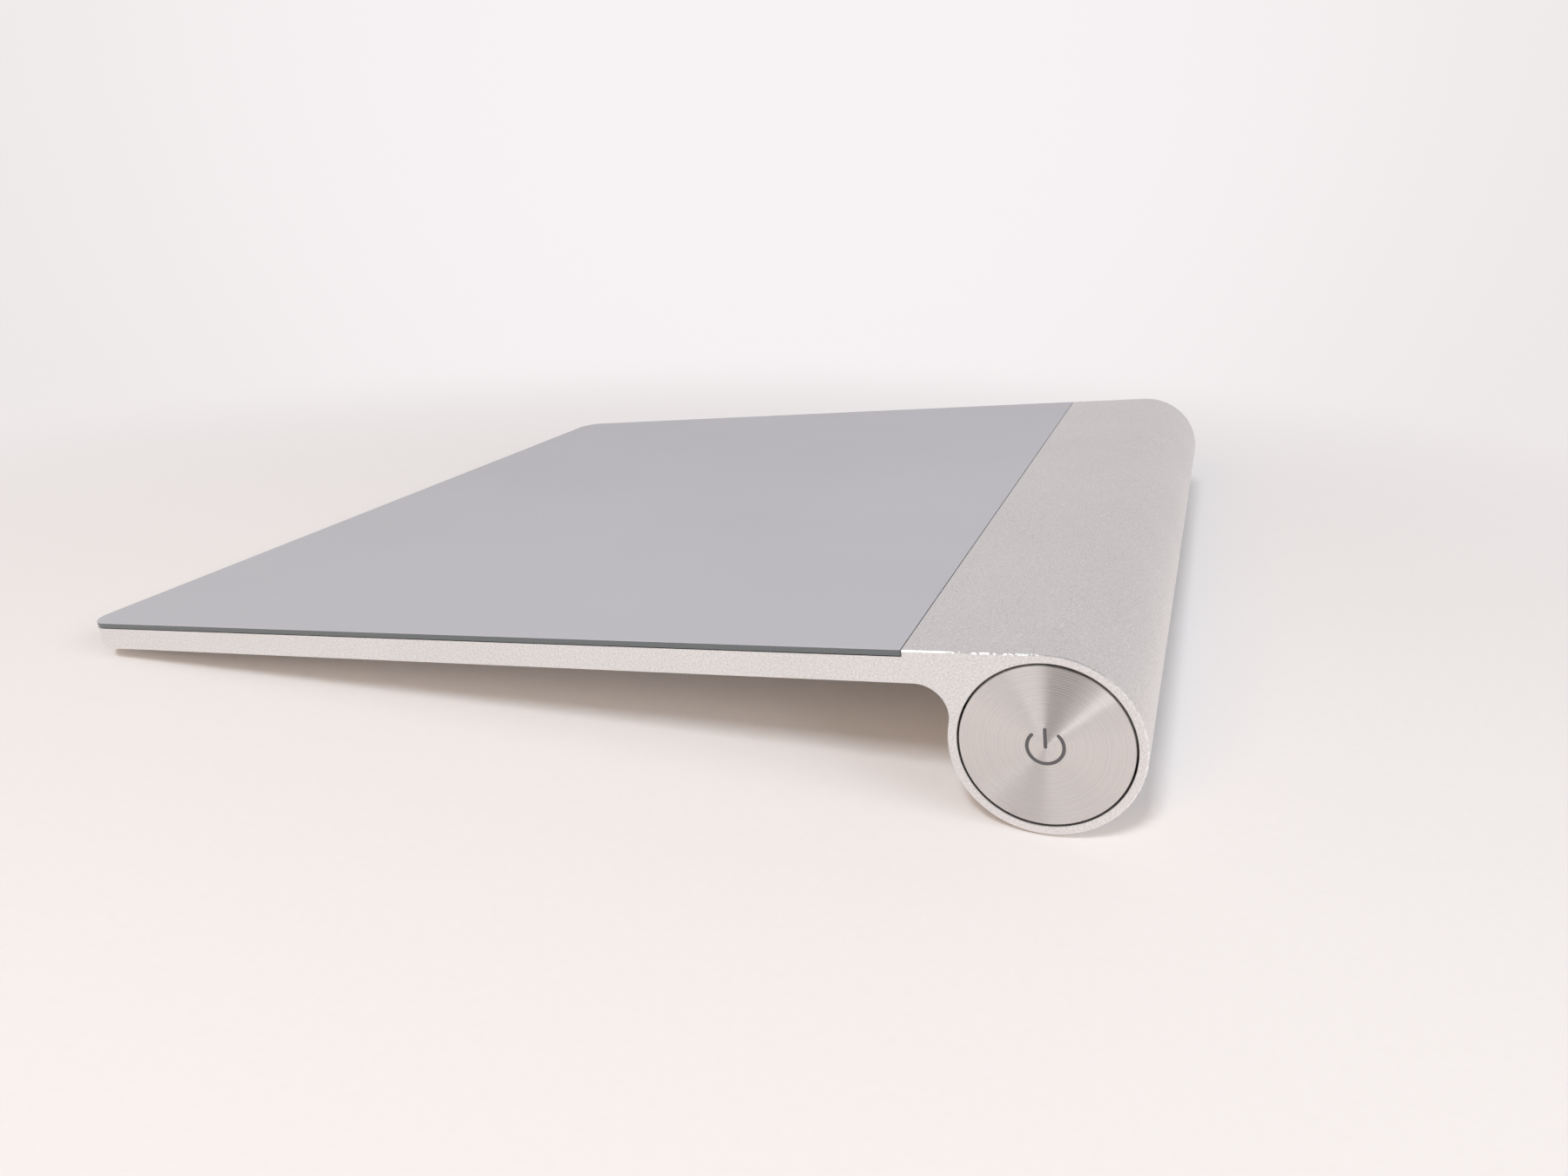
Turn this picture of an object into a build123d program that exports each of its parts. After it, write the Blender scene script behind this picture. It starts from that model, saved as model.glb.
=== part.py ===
"""Wireless trackpad: a thin sloping plate with a glass touch surface and a battery tube behind it.

Millimetres. +X is the user's right, +Y is the rear and +Z is up. The origin is on the table,
under the middle of the object's outline. Levels inside the plate are depths below its top face.
"""

from math import asin, atan2, cos, pi, sin, sqrt
import os

from build123d import *

os.makedirs("parts", exist_ok=True)

# Overall sizes: the tube is as long as its cells, contacts and ends need, the plate as wide
plate_depth = 131.0
plate_thickness = 3.45
front_height = 4.88
tube_wall = 1.8
overrun = 1.0
running_gap = 0.05
touch_gap = 0.02

# Housing
strip_depth = 13.06
corner_radius = 3.5
web_radius = 3.25
edge_break = 0.2
rim_width = 2.6
ledge_width = 1.1
pocket_corner = 1.6
end_gap = 0.2
end_rim = 0.89

# Glass, its tape and the sensor board under it
glass_thickness = 0.6
glass_seam = 0.14
glass_edge = 0.12
tape_thickness = 0.1
tape_inset = 0.3
sensor_thickness = 0.4
sensor_gap = 0.4

# Bottom cover
cover_thickness = 0.6
cover_gap = 0.15
rib_width = 0.8
rib_pitch_x = 30.0
rib_columns = 4
rib_rows = 3
rib_front_gap = 18.0
rib_rear_gap = 2.0

# Front feet, which click
foot_inset_x = 13.0
foot_inset_y = 11.5
foot_radius = 4.9
foot_edge = 0.4
click_travel = 0.3
plunger_radius = 4.2
flange_radius = 5.2
flange_thickness = 0.4
nub_radius = 1.5
click_switch_size = 4.6
click_switch_height = 0.6
click_pin_radius = 0.8
click_pin_reach = 0.38

# Rubber strips under the tube
strip_foot_thickness = 0.3
strip_foot_length = 20.0
strip_foot_width = 5.0
strip_foot_inset = 22.0

# Boards and what they carry
board_length = 78.0
board_width = 13.5
board_thickness = 0.5
board_rear_gap = 1.9
board_level = 2.0
stake_radius = 0.6
stake_head_radius = 1.0
stake_head_height = 0.25
stake_seat_radius = 1.3
stake_inset = 2.0
controller_size = 7.0
controller_height = 0.9
chip_capacitor_length = 1.0
chip_capacitor_width = 0.5
chip_capacitor_height = 0.45
capacitor_pitch_x = 2.2
capacitor_pitch_y = 11.0
capacitor_columns = 5
shield_length = 15.0
shield_width = 10.5
shield_height = 0.75
shield_wall = 0.15
radio_chip_size = 5.0
radio_chip_height = 0.5
regulator_length = 4.0
regulator_width = 3.0
regulator_height = 0.7
connector_length = 13.0
connector_width = 3.0
connector_height = 0.6
flex_thickness = 0.12
sensor_flex_width = 12.0
sensor_flex_pad = 2.5
sensor_flex_run = 3.5
sensor_flex_bend = 0.6
power_flex_width = 2.0
power_flex_leaf = 2.8
antenna_inset = 4.0
antenna_length = 16.0
antenna_width = 5.0
antenna_strip = 1.2
antenna_thickness = 0.2

# Power button, its guide and its switch
button_thickness = 2.2
button_travel = 0.5
button_edge = 0.12
stop_gap = 0.1
stem_radius = 2.25
stem_groove = 0.5
stem_tail = 0.3
guide_length = 3.2
spring_well_depth = 2.2
spring_wire = 0.4
spring_radius = 3.5
spring_turns = 3
clip_thickness = 0.4
clip_radius = 3.3
clip_mouth = 2.4
icon_radius = 1.7
icon_stroke = 0.34
icon_depth = 0.08
icon_gap_angle = 92.0
icon_bar_top = 1.78
power_switch_size = 4.4
power_switch_height = 1.1
power_pin_radius = 1.0
power_pin_reach = 0.6
switch_board_thickness = 0.8
screw_radius = 0.7
screw_head_radius = 1.2
screw_head_height = 0.5
screw_length = 3.2
screw_offset = 5.0
screw_cross = 0.3

# Contacts and cells
bulkhead_length = 5.0
bore_step = 0.2
contact_thickness = 0.3
contact_radius = 4.0
contact_pin_radius = 0.6
cell_radius = 7.25
cell_length = 50.4
cell_gap = 0.15
cell_nub_radius = 2.6
cell_nub_height = 1.2
cell_edge = 0.6

# Battery cap and its contact
cap_flange = 2.0
cap_skirt = 7.0
cap_floor = 5.5
thread_height = 0.4
thread_lead = 3.0
thread_starts = 2
thread_turns = 2
cap_wall = 1.2
coin_slot_width = 1.7
coin_slot_depth = 1.3
coin_slot_length = 12.6
contact_plate_thickness = 0.5
pivot_radius = 1.2
pivot_length = 2.0
contact_wire = 0.7
contact_tip_radius = 2.6
contact_turns = 4
contact_spring_length = 8.61

# Lengths along the tube, from the button's face to the first cell and from the last to the cap's
button_stack = button_thickness + button_travel + stop_gap + guide_length + clip_thickness
switch_stack = stem_tail + power_pin_reach + power_switch_height + switch_board_thickness
button_end_length = button_stack + switch_stack + bulkhead_length + contact_thickness + 2 * touch_gap
cap_end_length = cap_floor + running_gap + contact_plate_thickness + contact_spring_length
plate_width = button_end_length + 2 * cell_length + cap_end_length
half_width = plate_width / 2

# Frame of the plate: its top runs from the front edge to touch the tube's top, and side
# coordinates run rearwards and upwards from there, along it and square to it
tube_radius = cell_radius + cell_gap + tube_wall
tube_centre = Vector(0, plate_depth / 2 - tube_radius, tube_radius + strip_foot_thickness)
front_edge = Vector(0, -plate_depth / 2, front_height)
front_to_tube = tube_centre - front_edge
slope = atan2(front_to_tube.Z, front_to_tube.Y) + asin(tube_radius / front_to_tube.length)
rearwards = Vector(0, cos(slope), sin(slope))
upwards = Vector(0, -sin(slope), cos(slope))
crest = tube_centre + upwards * tube_radius
plate_length = (crest - front_edge).length
top_plane = Plane(origin=crest, x_dir=(1, 0, 0), z_dir=upwards)
side_plane = Plane(origin=crest, x_dir=rearwards, z_dir=(1, 0, 0))
tube_plane = Plane(origin=tube_centre, x_dir=rearwards, z_dir=(1, 0, 0))

# Levels below the plate's top face
tape_level = glass_thickness
sensor_level = tape_level + tape_thickness
inner_level = sensor_level + sensor_thickness
cover_level = plate_thickness - cover_thickness
cover_tape_level = cover_level - tape_thickness
board_under_level = board_level + board_thickness

# Outlines in the plate, from front to rear, measured from the crest
glass_rear = -strip_depth - glass_seam
pocket_front = -plate_length + rim_width
pocket_rear = -strip_depth - rim_width
pocket_length = pocket_rear - pocket_front
pocket_width = plate_width - 2 * rim_width
pocket_middle = (pocket_front + pocket_rear) / 2
recess_length = pocket_length + 2 * ledge_width
recess_width = pocket_width + 2 * ledge_width
foot_x = half_width - foot_inset_x
foot_y = -plate_length + foot_inset_y
antenna_x = -pocket_width / 2 + antenna_inset + antenna_length / 2
board_x = antenna_x + (antenna_length + board_length) / 2
board_y = pocket_rear - board_rear_gap - board_width / 2
board_front = board_y - board_width / 2
flex_front = board_front - sensor_flex_run - 2 * sensor_flex_pad
rib_front = -plate_length + rib_front_gap
rib_span = flex_front - rib_rear_gap - rib_front
rib_pitch_y = rib_span / (rib_rows - 1)
controller_y = rib_front + rib_span - rib_pitch_y / 2

# Places along the tube, from the button at the right to the cap at the left
disc_radius = tube_radius - end_rim - end_gap
end_bore_radius = disc_radius + end_gap
battery_bore_radius = cell_radius + cell_gap
bulkhead_bore_radius = battery_bore_radius + bore_step
button_back = half_width - button_thickness
guide_face = button_back - button_travel - stop_gap
guide_seat = guide_face - guide_length
clip_face = guide_seat - touch_gap
stem_end = clip_face - clip_thickness - stem_tail
power_pin_tip = stem_end - touch_gap
power_switch_top = power_pin_tip - power_pin_reach
switch_board_face = power_switch_top - power_switch_height
bulkhead_face = switch_board_face - switch_board_thickness
bulkhead_seat = bulkhead_face - bulkhead_length
first_cell_tip = bulkhead_seat - contact_thickness
last_cell_end = first_cell_tip - 2 * cell_length
cap_flange_seat = -half_width + cap_flange
cap_skirt_end = cap_flange_seat + cap_skirt
cap_inner_floor = -half_width + cap_floor
thread_bore_radius = (end_bore_radius + battery_bore_radius) / 2
cap_skirt_radius = thread_bore_radius - cell_gap - thread_height
contact_plate_outer = cap_inner_floor + running_gap
contact_plate_inner = contact_plate_outer + contact_plate_thickness
contact_plate_radius = cap_skirt_radius - cap_wall - cell_gap
contact_base_radius = contact_plate_radius - contact_wire


def plate_rectangle(width, front, rear, corner):
    """A rounded rectangle in the plate's plan, centred across the width."""
    with Locations((0, (front + rear) / 2)):
        RectangleRounded(width, rear - front, corner)


def front_outline(inset, rear):
    """The glass outline: its front corners follow the housing, drawn in by inset."""
    reach = half_width - inset
    front = -plate_length + inset
    radius = corner_radius - inset
    with BuildLine() as outline:
        Polyline((-reach, front + radius), (-reach, rear), (reach, rear), (reach, front + radius))
        RadiusArc((reach, front + radius), (reach - radius, front), radius)
        Line((reach - radius, front), (-reach + radius, front))
        RadiusArc((-reach + radius, front), (-reach, front + radius), radius)
    make_face(outline.edges())


def tube_ring(start, end, outer, inner=0, mode=Mode.ADD):
    """A ring or disc on the tube's axis, between two places along it."""
    with BuildSketch(tube_plane.offset(start)) as ring:
        Circle(outer)
        if inner:
            Circle(inner, mode=Mode.SUBTRACT)
    extrude(ring.sketch, amount=end - start, mode=mode)


def power_mark():
    """The mark's open ring and its bar, drawn on the button's face."""
    with BuildLine() as ring:
        CenterArc((0, 0), icon_radius, 90 + icon_gap_angle / 2, 360 - icon_gap_angle)
    SlotArc(ring.wire(), icon_stroke)
    with Locations((0, icon_bar_top / 2)):
        SlotCenterToCenter(icon_bar_top, icon_stroke, rotation=90)


def coil(start, end, base_radius, tip_radius, turns, first_angle=0):
    """A helix on the tube's axis, as pairs of tangent arcs, with four pairs to a turn."""
    steps = 4 * turns
    sweep_angle = 2 * pi * turns

    def place(step):
        share = step / steps
        angle = first_angle + sweep_angle * share
        radius = base_radius + (tip_radius - base_radius) * share
        spoke = rearwards * cos(angle) + upwards * sin(angle)
        across = upwards * cos(angle) - rearwards * sin(angle)
        point = tube_centre + Vector(start + (end - start) * share, 0, 0) + spoke * radius
        slide = Vector(end - start, 0, 0) + spoke * (tip_radius - base_radius)
        return point, (slide + across * (radius * sweep_angle)).normalized()

    with BuildLine() as path:
        for step in range(steps):
            first, leave = place(step)
            last, arrive = place(step + 1)
            chord = last - first
            both = leave + arrive
            bend = 2 * (1 - leave.dot(arrive))
            lean = chord.dot(both)
            reach = (sqrt(lean * lean + bend * chord.dot(chord)) - lean) / bend
            middle = (first + last + (leave - arrive) * reach) / 2
            TangentArc(first, middle, tangent=leave)
            TangentArc(middle, last, tangent=last - arrive * reach - middle)
    return path, place(0)


# Housing: one aluminium body with the plate's frame, the rear strip and the battery tube
web_drop = tube_radius - plate_thickness - web_radius
web_reach = sqrt((tube_radius + web_radius) ** 2 - web_drop**2)
join_share = tube_radius / (tube_radius + web_radius)
join_point = (-web_reach * join_share, -tube_radius + web_drop * join_share)
under_end = (-web_reach, -plate_thickness)
with BuildPart() as housing:
    with BuildSketch(side_plane):
        with BuildLine():
            Line((-plate_length, 0), (0, 0))
            ThreePointArc((0, 0), (tube_radius, -tube_radius), join_point)
            TangentArc(under_end, join_point, tangent=(1, 0))
            Polyline(under_end, (-plate_length, -plate_thickness), (-plate_length, 0))
        make_face()
    extrude(amount=half_width, both=True)
    fillet(housing.edges().filter_by(Axis(crest, upwards)), corner_radius)
    chamfer(housing.faces().filter_by(Axis.X).edges(), edge_break)
    with BuildSketch(top_plane.offset(-sensor_level)):
        with Locations((0, (-plate_length - strip_depth) / 2)):
            Rectangle(plate_width + overrun, plate_length - strip_depth)
        with Locations((0, -plate_length)):
            Rectangle(plate_width + overrun, overrun)
    extrude(amount=sensor_level + overrun, mode=Mode.SUBTRACT)
    with BuildSketch(top_plane.offset(-sensor_level)):
        plate_rectangle(pocket_width, pocket_front, pocket_rear, pocket_corner)
    extrude(amount=-plate_thickness, mode=Mode.SUBTRACT)
    with BuildSketch(top_plane.offset(-cover_tape_level)):
        with Locations((0, pocket_middle)):
            RectangleRounded(recess_width, recess_length, pocket_corner + ledge_width)
    extrude(amount=-plate_thickness, mode=Mode.SUBTRACT)
    tube_ring(half_width, guide_seat, end_bore_radius, mode=Mode.SUBTRACT)
    tube_ring(guide_seat, bulkhead_seat, bulkhead_bore_radius, mode=Mode.SUBTRACT)
    tube_ring(bulkhead_seat, cap_skirt_end, battery_bore_radius, mode=Mode.SUBTRACT)
    tube_ring(cap_skirt_end, cap_flange_seat, thread_bore_radius, mode=Mode.SUBTRACT)
    tube_ring(cap_flange_seat, -half_width, end_bore_radius, mode=Mode.SUBTRACT)
    cable_slot_x = switch_board_face + power_flex_width / 2
    with BuildSketch(top_plane.offset(-board_under_level - flex_thickness - running_gap)):
        with Locations((cable_slot_x, pocket_rear / 2)):
            Rectangle(power_flex_width + cell_gap, -pocket_rear)
    extrude(amount=flex_thickness + 2 * running_gap, mode=Mode.SUBTRACT)
housing.part.label = "housing"
export_step(housing.part, "parts/housing.step")

# Touch surface: a full-width glass plate, taped to the housing's rim
with BuildPart() as touch_glass:
    with BuildSketch(top_plane):
        front_outline(0, glass_rear)
    extrude(amount=-glass_thickness)
    chamfer(touch_glass.faces().sort_by(Axis(crest, upwards))[-1].edges(), glass_edge)
touch_glass.part.label = "touch_glass"
export_step(touch_glass.part, "parts/touch_glass.step")

with BuildPart() as glass_adhesive:
    with BuildSketch(top_plane.offset(-tape_level)):
        front_outline(tape_inset, glass_rear - tape_inset)
    extrude(amount=-tape_thickness)
glass_adhesive.part.label = "glass_adhesive"
export_step(glass_adhesive.part, "parts/glass_adhesive.step")

with BuildPart() as touch_sensor_board:
    with BuildSketch(top_plane.offset(-sensor_level)):
        plate_rectangle(
            pocket_width - 2 * sensor_gap,
            pocket_front + sensor_gap,
            pocket_rear - sensor_gap,
            pocket_corner - sensor_gap,
        )
    extrude(amount=-sensor_thickness)
touch_sensor_board.part.label = "touch_sensor_board"
export_step(touch_sensor_board.part, "parts/touch_sensor_board.step")

with BuildPart() as touch_controller:
    with BuildSketch(top_plane.offset(-inner_level)):
        with Locations((0, controller_y)):
            Rectangle(controller_size, controller_size)
    extrude(amount=-controller_height)
touch_controller.part.label = "touch_controller"
export_step(touch_controller.part, "parts/touch_controller.step")

with BuildPart() as sensor_capacitors:
    with BuildSketch(top_plane.offset(-inner_level)):
        with Locations((0, controller_y)):
            with GridLocations(capacitor_pitch_x, capacitor_pitch_y, capacitor_columns, 2):
                Rectangle(chip_capacitor_length, chip_capacitor_width)
    extrude(amount=-chip_capacitor_height)
sensor_capacitors.part.label = "sensor_capacitors"
export_step(sensor_capacitors.part, "parts/sensor_capacitors.step")

# Bottom cover: a plastic panel flush in the underside, with ribs, foot holes and board stakes
stake_pitch_x = board_length - 2 * stake_inset
stake_pitch_y = board_width - 2 * stake_inset
with BuildPart() as bottom_cover:
    with BuildSketch(top_plane.offset(-cover_level)):
        with Locations((0, pocket_middle)):
            RectangleRounded(
                recess_width - 2 * cover_gap,
                recess_length - 2 * cover_gap,
                pocket_corner + ledge_width - cover_gap,
            )
        with Locations((-foot_x, foot_y), (foot_x, foot_y)):
            Circle(plunger_radius + running_gap, mode=Mode.SUBTRACT)
    extrude(amount=-cover_thickness)
    with BuildSketch(top_plane.offset(-cover_level)):
        with Locations((0, rib_front + rib_span / 2)):
            with GridLocations(rib_pitch_x, rib_pitch_y, rib_columns, 1):
                Rectangle(rib_width, rib_span + rib_width)
            with GridLocations(rib_pitch_x, rib_pitch_y, 1, rib_rows):
                Rectangle(rib_pitch_x * (rib_columns - 1) + rib_width, rib_width)
    extrude(amount=cover_level - inner_level - running_gap)
    with BuildSketch(top_plane.offset(-cover_level)):
        with Locations((board_x, board_y)):
            with GridLocations(stake_pitch_x, stake_pitch_y, 2, 2):
                Circle(stake_seat_radius)
    extrude(amount=cover_level - board_under_level)
    with BuildSketch(top_plane.offset(-board_under_level)):
        with Locations((board_x, board_y)):
            with GridLocations(stake_pitch_x, stake_pitch_y, 2, 2):
                Circle(stake_radius)
    extrude(amount=board_thickness)
    with BuildSketch(top_plane.offset(-board_level)):
        with Locations((board_x, board_y)):
            with GridLocations(stake_pitch_x, stake_pitch_y, 2, 2):
                Circle(stake_head_radius)
    extrude(amount=stake_head_height)
bottom_cover.part.label = "bottom_cover"
export_step(bottom_cover.part, "parts/bottom_cover.step")

with BuildPart() as cover_adhesive:
    with BuildSketch(top_plane.offset(-cover_tape_level)):
        with Locations((0, pocket_middle)):
            RectangleRounded(
                recess_width - 2 * cover_gap,
                recess_length - 2 * cover_gap,
                pocket_corner + ledge_width - cover_gap,
            )
            RectangleRounded(pocket_width, pocket_length, pocket_corner, mode=Mode.SUBTRACT)
    extrude(amount=-tape_thickness)
cover_adhesive.part.label = "cover_adhesive"
export_step(cover_adhesive.part, "parts/cover_adhesive.step")

# Front feet: a rubber pad on a plunger, which presses a switch under the sensor board
flange_level = cover_level - touch_gap
switch_under_level = inner_level + click_switch_height
click_pin_level = switch_under_level + click_pin_reach
nub_level = click_pin_level + touch_gap
pad_level = plate_thickness + click_travel + stop_gap
click_well = click_travel + 2 * touch_gap
for side, hand in ((-1, "left"), (1, "right")):
    foot_place = (side * foot_x, foot_y)
    with BuildPart() as foot_pad:
        with BuildSketch(top_plane.offset(-pad_level)):
            with Locations(foot_place):
                Circle(foot_radius)
        extrude(amount=-tube_radius)
        split(bisect_by=Plane.XY, keep=Keep.TOP)
        chamfer(foot_pad.faces().sort_by(Axis.Z)[0].edges(), foot_edge)
    foot_pad.part.label = f"{hand}_foot_pad"
    export_step(foot_pad.part, f"parts/{hand}_foot_pad.step")

    with BuildPart() as foot_plunger:
        with BuildSketch(top_plane.offset(-pad_level)):
            with Locations(foot_place):
                Circle(plunger_radius)
        extrude(amount=pad_level - flange_level)
        with BuildSketch(top_plane.offset(-flange_level)):
            with Locations(foot_place):
                Circle(flange_radius)
        extrude(amount=flange_thickness)
        with BuildSketch(top_plane.offset(-nub_level)):
            with Locations(foot_place):
                Circle(nub_radius)
        extrude(amount=nub_level - flange_level)
    foot_plunger.part.label = f"{hand}_foot_plunger"
    export_step(foot_plunger.part, f"parts/{hand}_foot_plunger.step")

    with BuildPart() as click_switch:
        with BuildSketch(top_plane.offset(-inner_level)):
            with Locations(foot_place):
                Rectangle(click_switch_size, click_switch_size)
        extrude(amount=-click_switch_height)
        with BuildSketch(top_plane.offset(-switch_under_level)):
            with Locations(foot_place):
                Circle(click_pin_radius + running_gap)
        extrude(amount=click_well, mode=Mode.SUBTRACT)
    click_switch.part.label = f"{hand}_click_switch"
    export_step(click_switch.part, f"parts/{hand}_click_switch.step")

    with BuildPart() as click_switch_pin:
        with BuildSketch(top_plane.offset(-click_pin_level)):
            with Locations(foot_place):
                Circle(click_pin_radius)
        extrude(amount=click_pin_reach + touch_gap)
    click_switch_pin.part.label = f"{hand}_click_switch_pin"
    export_step(click_switch_pin.part, f"parts/{hand}_click_switch_pin.step")

# Rubber strips that the tube rests on
strip_foot_height = tube_centre.Z - sqrt(tube_radius**2 - (strip_foot_width / 2) ** 2)
strip_foot_reach = 2 * (half_width - strip_foot_inset)
with BuildPart() as rear_foot_strips:
    with BuildSketch(Plane.XY):
        with Locations((0, tube_centre.Y)):
            with GridLocations(strip_foot_reach, 0, 2, 1):
                RectangleRounded(strip_foot_length, strip_foot_width, strip_foot_width / 4)
    extrude(amount=strip_foot_height)
    tube_ring(-half_width, half_width, tube_radius, mode=Mode.SUBTRACT)
rear_foot_strips.part.label = "rear_foot_strips"
export_step(rear_foot_strips.part, "parts/rear_foot_strips.step")

# Logic board, staked to the cover, and its chips
with BuildPart() as logic_board:
    with BuildSketch(top_plane.offset(-board_level)):
        with Locations((board_x, board_y)):
            Rectangle(board_length, board_width)
            with GridLocations(stake_pitch_x, stake_pitch_y, 2, 2):
                Circle(stake_radius + touch_gap, mode=Mode.SUBTRACT)
    extrude(amount=-board_thickness)
logic_board.part.label = "logic_board"
export_step(logic_board.part, "parts/logic_board.step")

shield_x = board_x + board_length / 4
with BuildPart() as radio_shield:
    with BuildSketch(top_plane.offset(-board_level)):
        with Locations((shield_x, board_y)):
            Rectangle(shield_length, shield_width)
    extrude(amount=shield_height)
    with BuildSketch(top_plane.offset(-board_level)):
        with Locations((shield_x, board_y)):
            Rectangle(shield_length - 2 * shield_wall, shield_width - 2 * shield_wall)
    extrude(amount=shield_height - shield_wall, mode=Mode.SUBTRACT)
radio_shield.part.label = "radio_shield"
export_step(radio_shield.part, "parts/radio_shield.step")

with BuildPart() as radio_chip:
    with BuildSketch(top_plane.offset(-board_level)):
        with Locations((shield_x, board_y)):
            Rectangle(radio_chip_size, radio_chip_size)
    extrude(amount=radio_chip_height)
radio_chip.part.label = "radio_chip"
export_step(radio_chip.part, "parts/radio_chip.step")

regulator_x = board_x - board_length / 4
with BuildPart() as voltage_regulator:
    with BuildSketch(top_plane.offset(-board_level)):
        with Locations((regulator_x, board_y)):
            Rectangle(regulator_length, regulator_width)
    extrude(amount=regulator_height)
voltage_regulator.part.label = "voltage_regulator"
export_step(voltage_regulator.part, "parts/voltage_regulator.step")

with BuildPart() as board_capacitors:
    with BuildSketch(top_plane.offset(-board_level)):
        with Locations((regulator_x, board_y)):
            with GridLocations(capacitor_pitch_x, board_width / 2, capacitor_columns, 2):
                Rectangle(chip_capacitor_length, chip_capacitor_width)
    extrude(amount=chip_capacitor_height)
board_capacitors.part.label = "board_capacitors"
export_step(board_capacitors.part, "parts/board_capacitors.step")

connector_x = board_x
connector_y = board_front + connector_width / 2
with BuildPart() as flex_connector:
    with BuildSketch(top_plane.offset(-board_level)):
        with Locations((connector_x, connector_y)):
            Rectangle(connector_length, connector_width)
    extrude(amount=connector_height)
flex_connector.part.label = "flex_connector"
export_step(flex_connector.part, "parts/flex_connector.step")

# Flat cable from the sensor board's underside down to the connector's front face
flex_high = -inner_level - flex_thickness / 2
flex_low = -board_level + connector_height / 2
flex_start = flex_front + sensor_flex_pad
with BuildPart() as sensor_flex_cable:
    with BuildSketch(side_plane.offset(connector_x)):
        with BuildLine():
            FilletPolyline(
                (flex_front, flex_high),
                (flex_start, flex_high),
                (board_front - sensor_flex_pad / 2, flex_low),
                (board_front, flex_low),
                radius=sensor_flex_bend,
            )
        trace(line_width=flex_thickness)
    extrude(amount=sensor_flex_width / 2, both=True)
sensor_flex_cable.part.label = "sensor_flex_cable"
export_step(sensor_flex_cable.part, "parts/sensor_flex_cable.step")

# Antenna: an inverted F of sheet brass at the board's left end, over the plastic cover
antenna_y = board_y + board_width / 2 - antenna_width / 2
with BuildPart() as antenna:
    with BuildSketch(top_plane.offset(-board_level)):
        with Locations((antenna_x, antenna_y + (antenna_width - antenna_strip) / 2)):
            Rectangle(antenna_length, antenna_strip)
        with Locations((antenna_x, antenna_y - (antenna_width - antenna_strip) / 2)):
            Rectangle(antenna_length, antenna_strip)
        with Locations((antenna_x - antenna_length / 4, antenna_y)):
            Rectangle(antenna_strip, antenna_width)
    extrude(amount=-antenna_thickness)
antenna.part.label = "antenna"
export_step(antenna.part, "parts/antenna.step")

# Power button, flush in the tube's right end, with its stem, mark and clip
with BuildPart() as power_button:
    tube_ring(button_back, half_width, disc_radius)
    chamfer(power_button.faces().sort_by(Axis.X)[-1].edges(), button_edge)
    tube_ring(stem_end, button_back, stem_radius)
    tube_ring(clip_face - clip_thickness, clip_face, stem_radius, stem_radius - stem_groove, Mode.SUBTRACT)
    with BuildSketch(tube_plane.offset(half_width - icon_depth)):
        power_mark()
    extrude(amount=overrun, mode=Mode.SUBTRACT)
power_button.part.label = "power_button"
export_step(power_button.part, "parts/power_button.step")

with BuildPart() as power_icon:
    with BuildSketch(tube_plane.offset(half_width - icon_depth)):
        power_mark()
    extrude(amount=icon_depth - touch_gap)
power_icon.part.label = "power_icon"
export_step(power_icon.part, "parts/power_icon.step")

with BuildPart() as button_clip:
    with BuildSketch(tube_plane.offset(clip_face)):
        Circle(clip_radius)
        Circle(stem_radius - stem_groove, mode=Mode.SUBTRACT)
        with Locations((0, -clip_radius)):
            Rectangle(clip_mouth, 2 * clip_radius, mode=Mode.SUBTRACT)
    extrude(amount=-clip_thickness)
button_clip.part.label = "button_clip"
export_step(button_clip.part, "parts/button_clip.step")

with BuildPart() as button_guide:
    tube_ring(guide_seat, guide_face, end_bore_radius - touch_gap, stem_radius + running_gap)
    well_floor = guide_face - spring_well_depth
    well_half = spring_wire / 2 + running_gap + cell_gap
    tube_ring(well_floor, guide_face, spring_radius + well_half, spring_radius - well_half, Mode.SUBTRACT)
button_guide.part.label = "button_guide"
export_step(button_guide.part, "parts/button_guide.step")

with BuildPart() as button_return_spring:
    spring_first = guide_face - spring_well_depth + spring_wire / 2 + touch_gap
    spring_last = button_back - spring_wire / 2 - touch_gap
    path, (origin, heading) = coil(spring_first, spring_last, spring_radius, spring_radius, spring_turns)
    with BuildSketch(Plane(origin=origin, z_dir=heading)):
        Circle(spring_wire / 2)
    sweep(path=path.wire())
button_return_spring.part.label = "button_return_spring"
export_step(button_return_spring.part, "parts/button_return_spring.step")

# Power switch on its round board, screwed to the bulkhead that carries the positive contact
with BuildPart() as power_switch:
    with BuildSketch(tube_plane.offset(switch_board_face)):
        Rectangle(power_switch_size, power_switch_size)
    extrude(amount=power_switch_height)
    tube_ring(
        power_switch_top - button_travel - touch_gap * 2,
        power_switch_top,
        power_pin_radius + running_gap,
        mode=Mode.SUBTRACT,
    )
power_switch.part.label = "power_switch"
export_step(power_switch.part, "parts/power_switch.step")

with BuildPart() as power_switch_pin:
    tube_ring(power_switch_top - touch_gap, power_pin_tip, power_pin_radius)
power_switch_pin.part.label = "power_switch_pin"
export_step(power_switch_pin.part, "parts/power_switch_pin.step")

with BuildPart() as power_switch_board:
    with BuildSketch(tube_plane.offset(bulkhead_face)):
        Circle(bulkhead_bore_radius - 2 * running_gap)
        with Locations((-screw_offset, 0), (screw_offset, 0)):
            Circle(screw_radius + running_gap, mode=Mode.SUBTRACT)
    extrude(amount=switch_board_thickness)
power_switch_board.part.label = "power_switch_board"
export_step(power_switch_board.part, "parts/power_switch_board.step")

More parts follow.
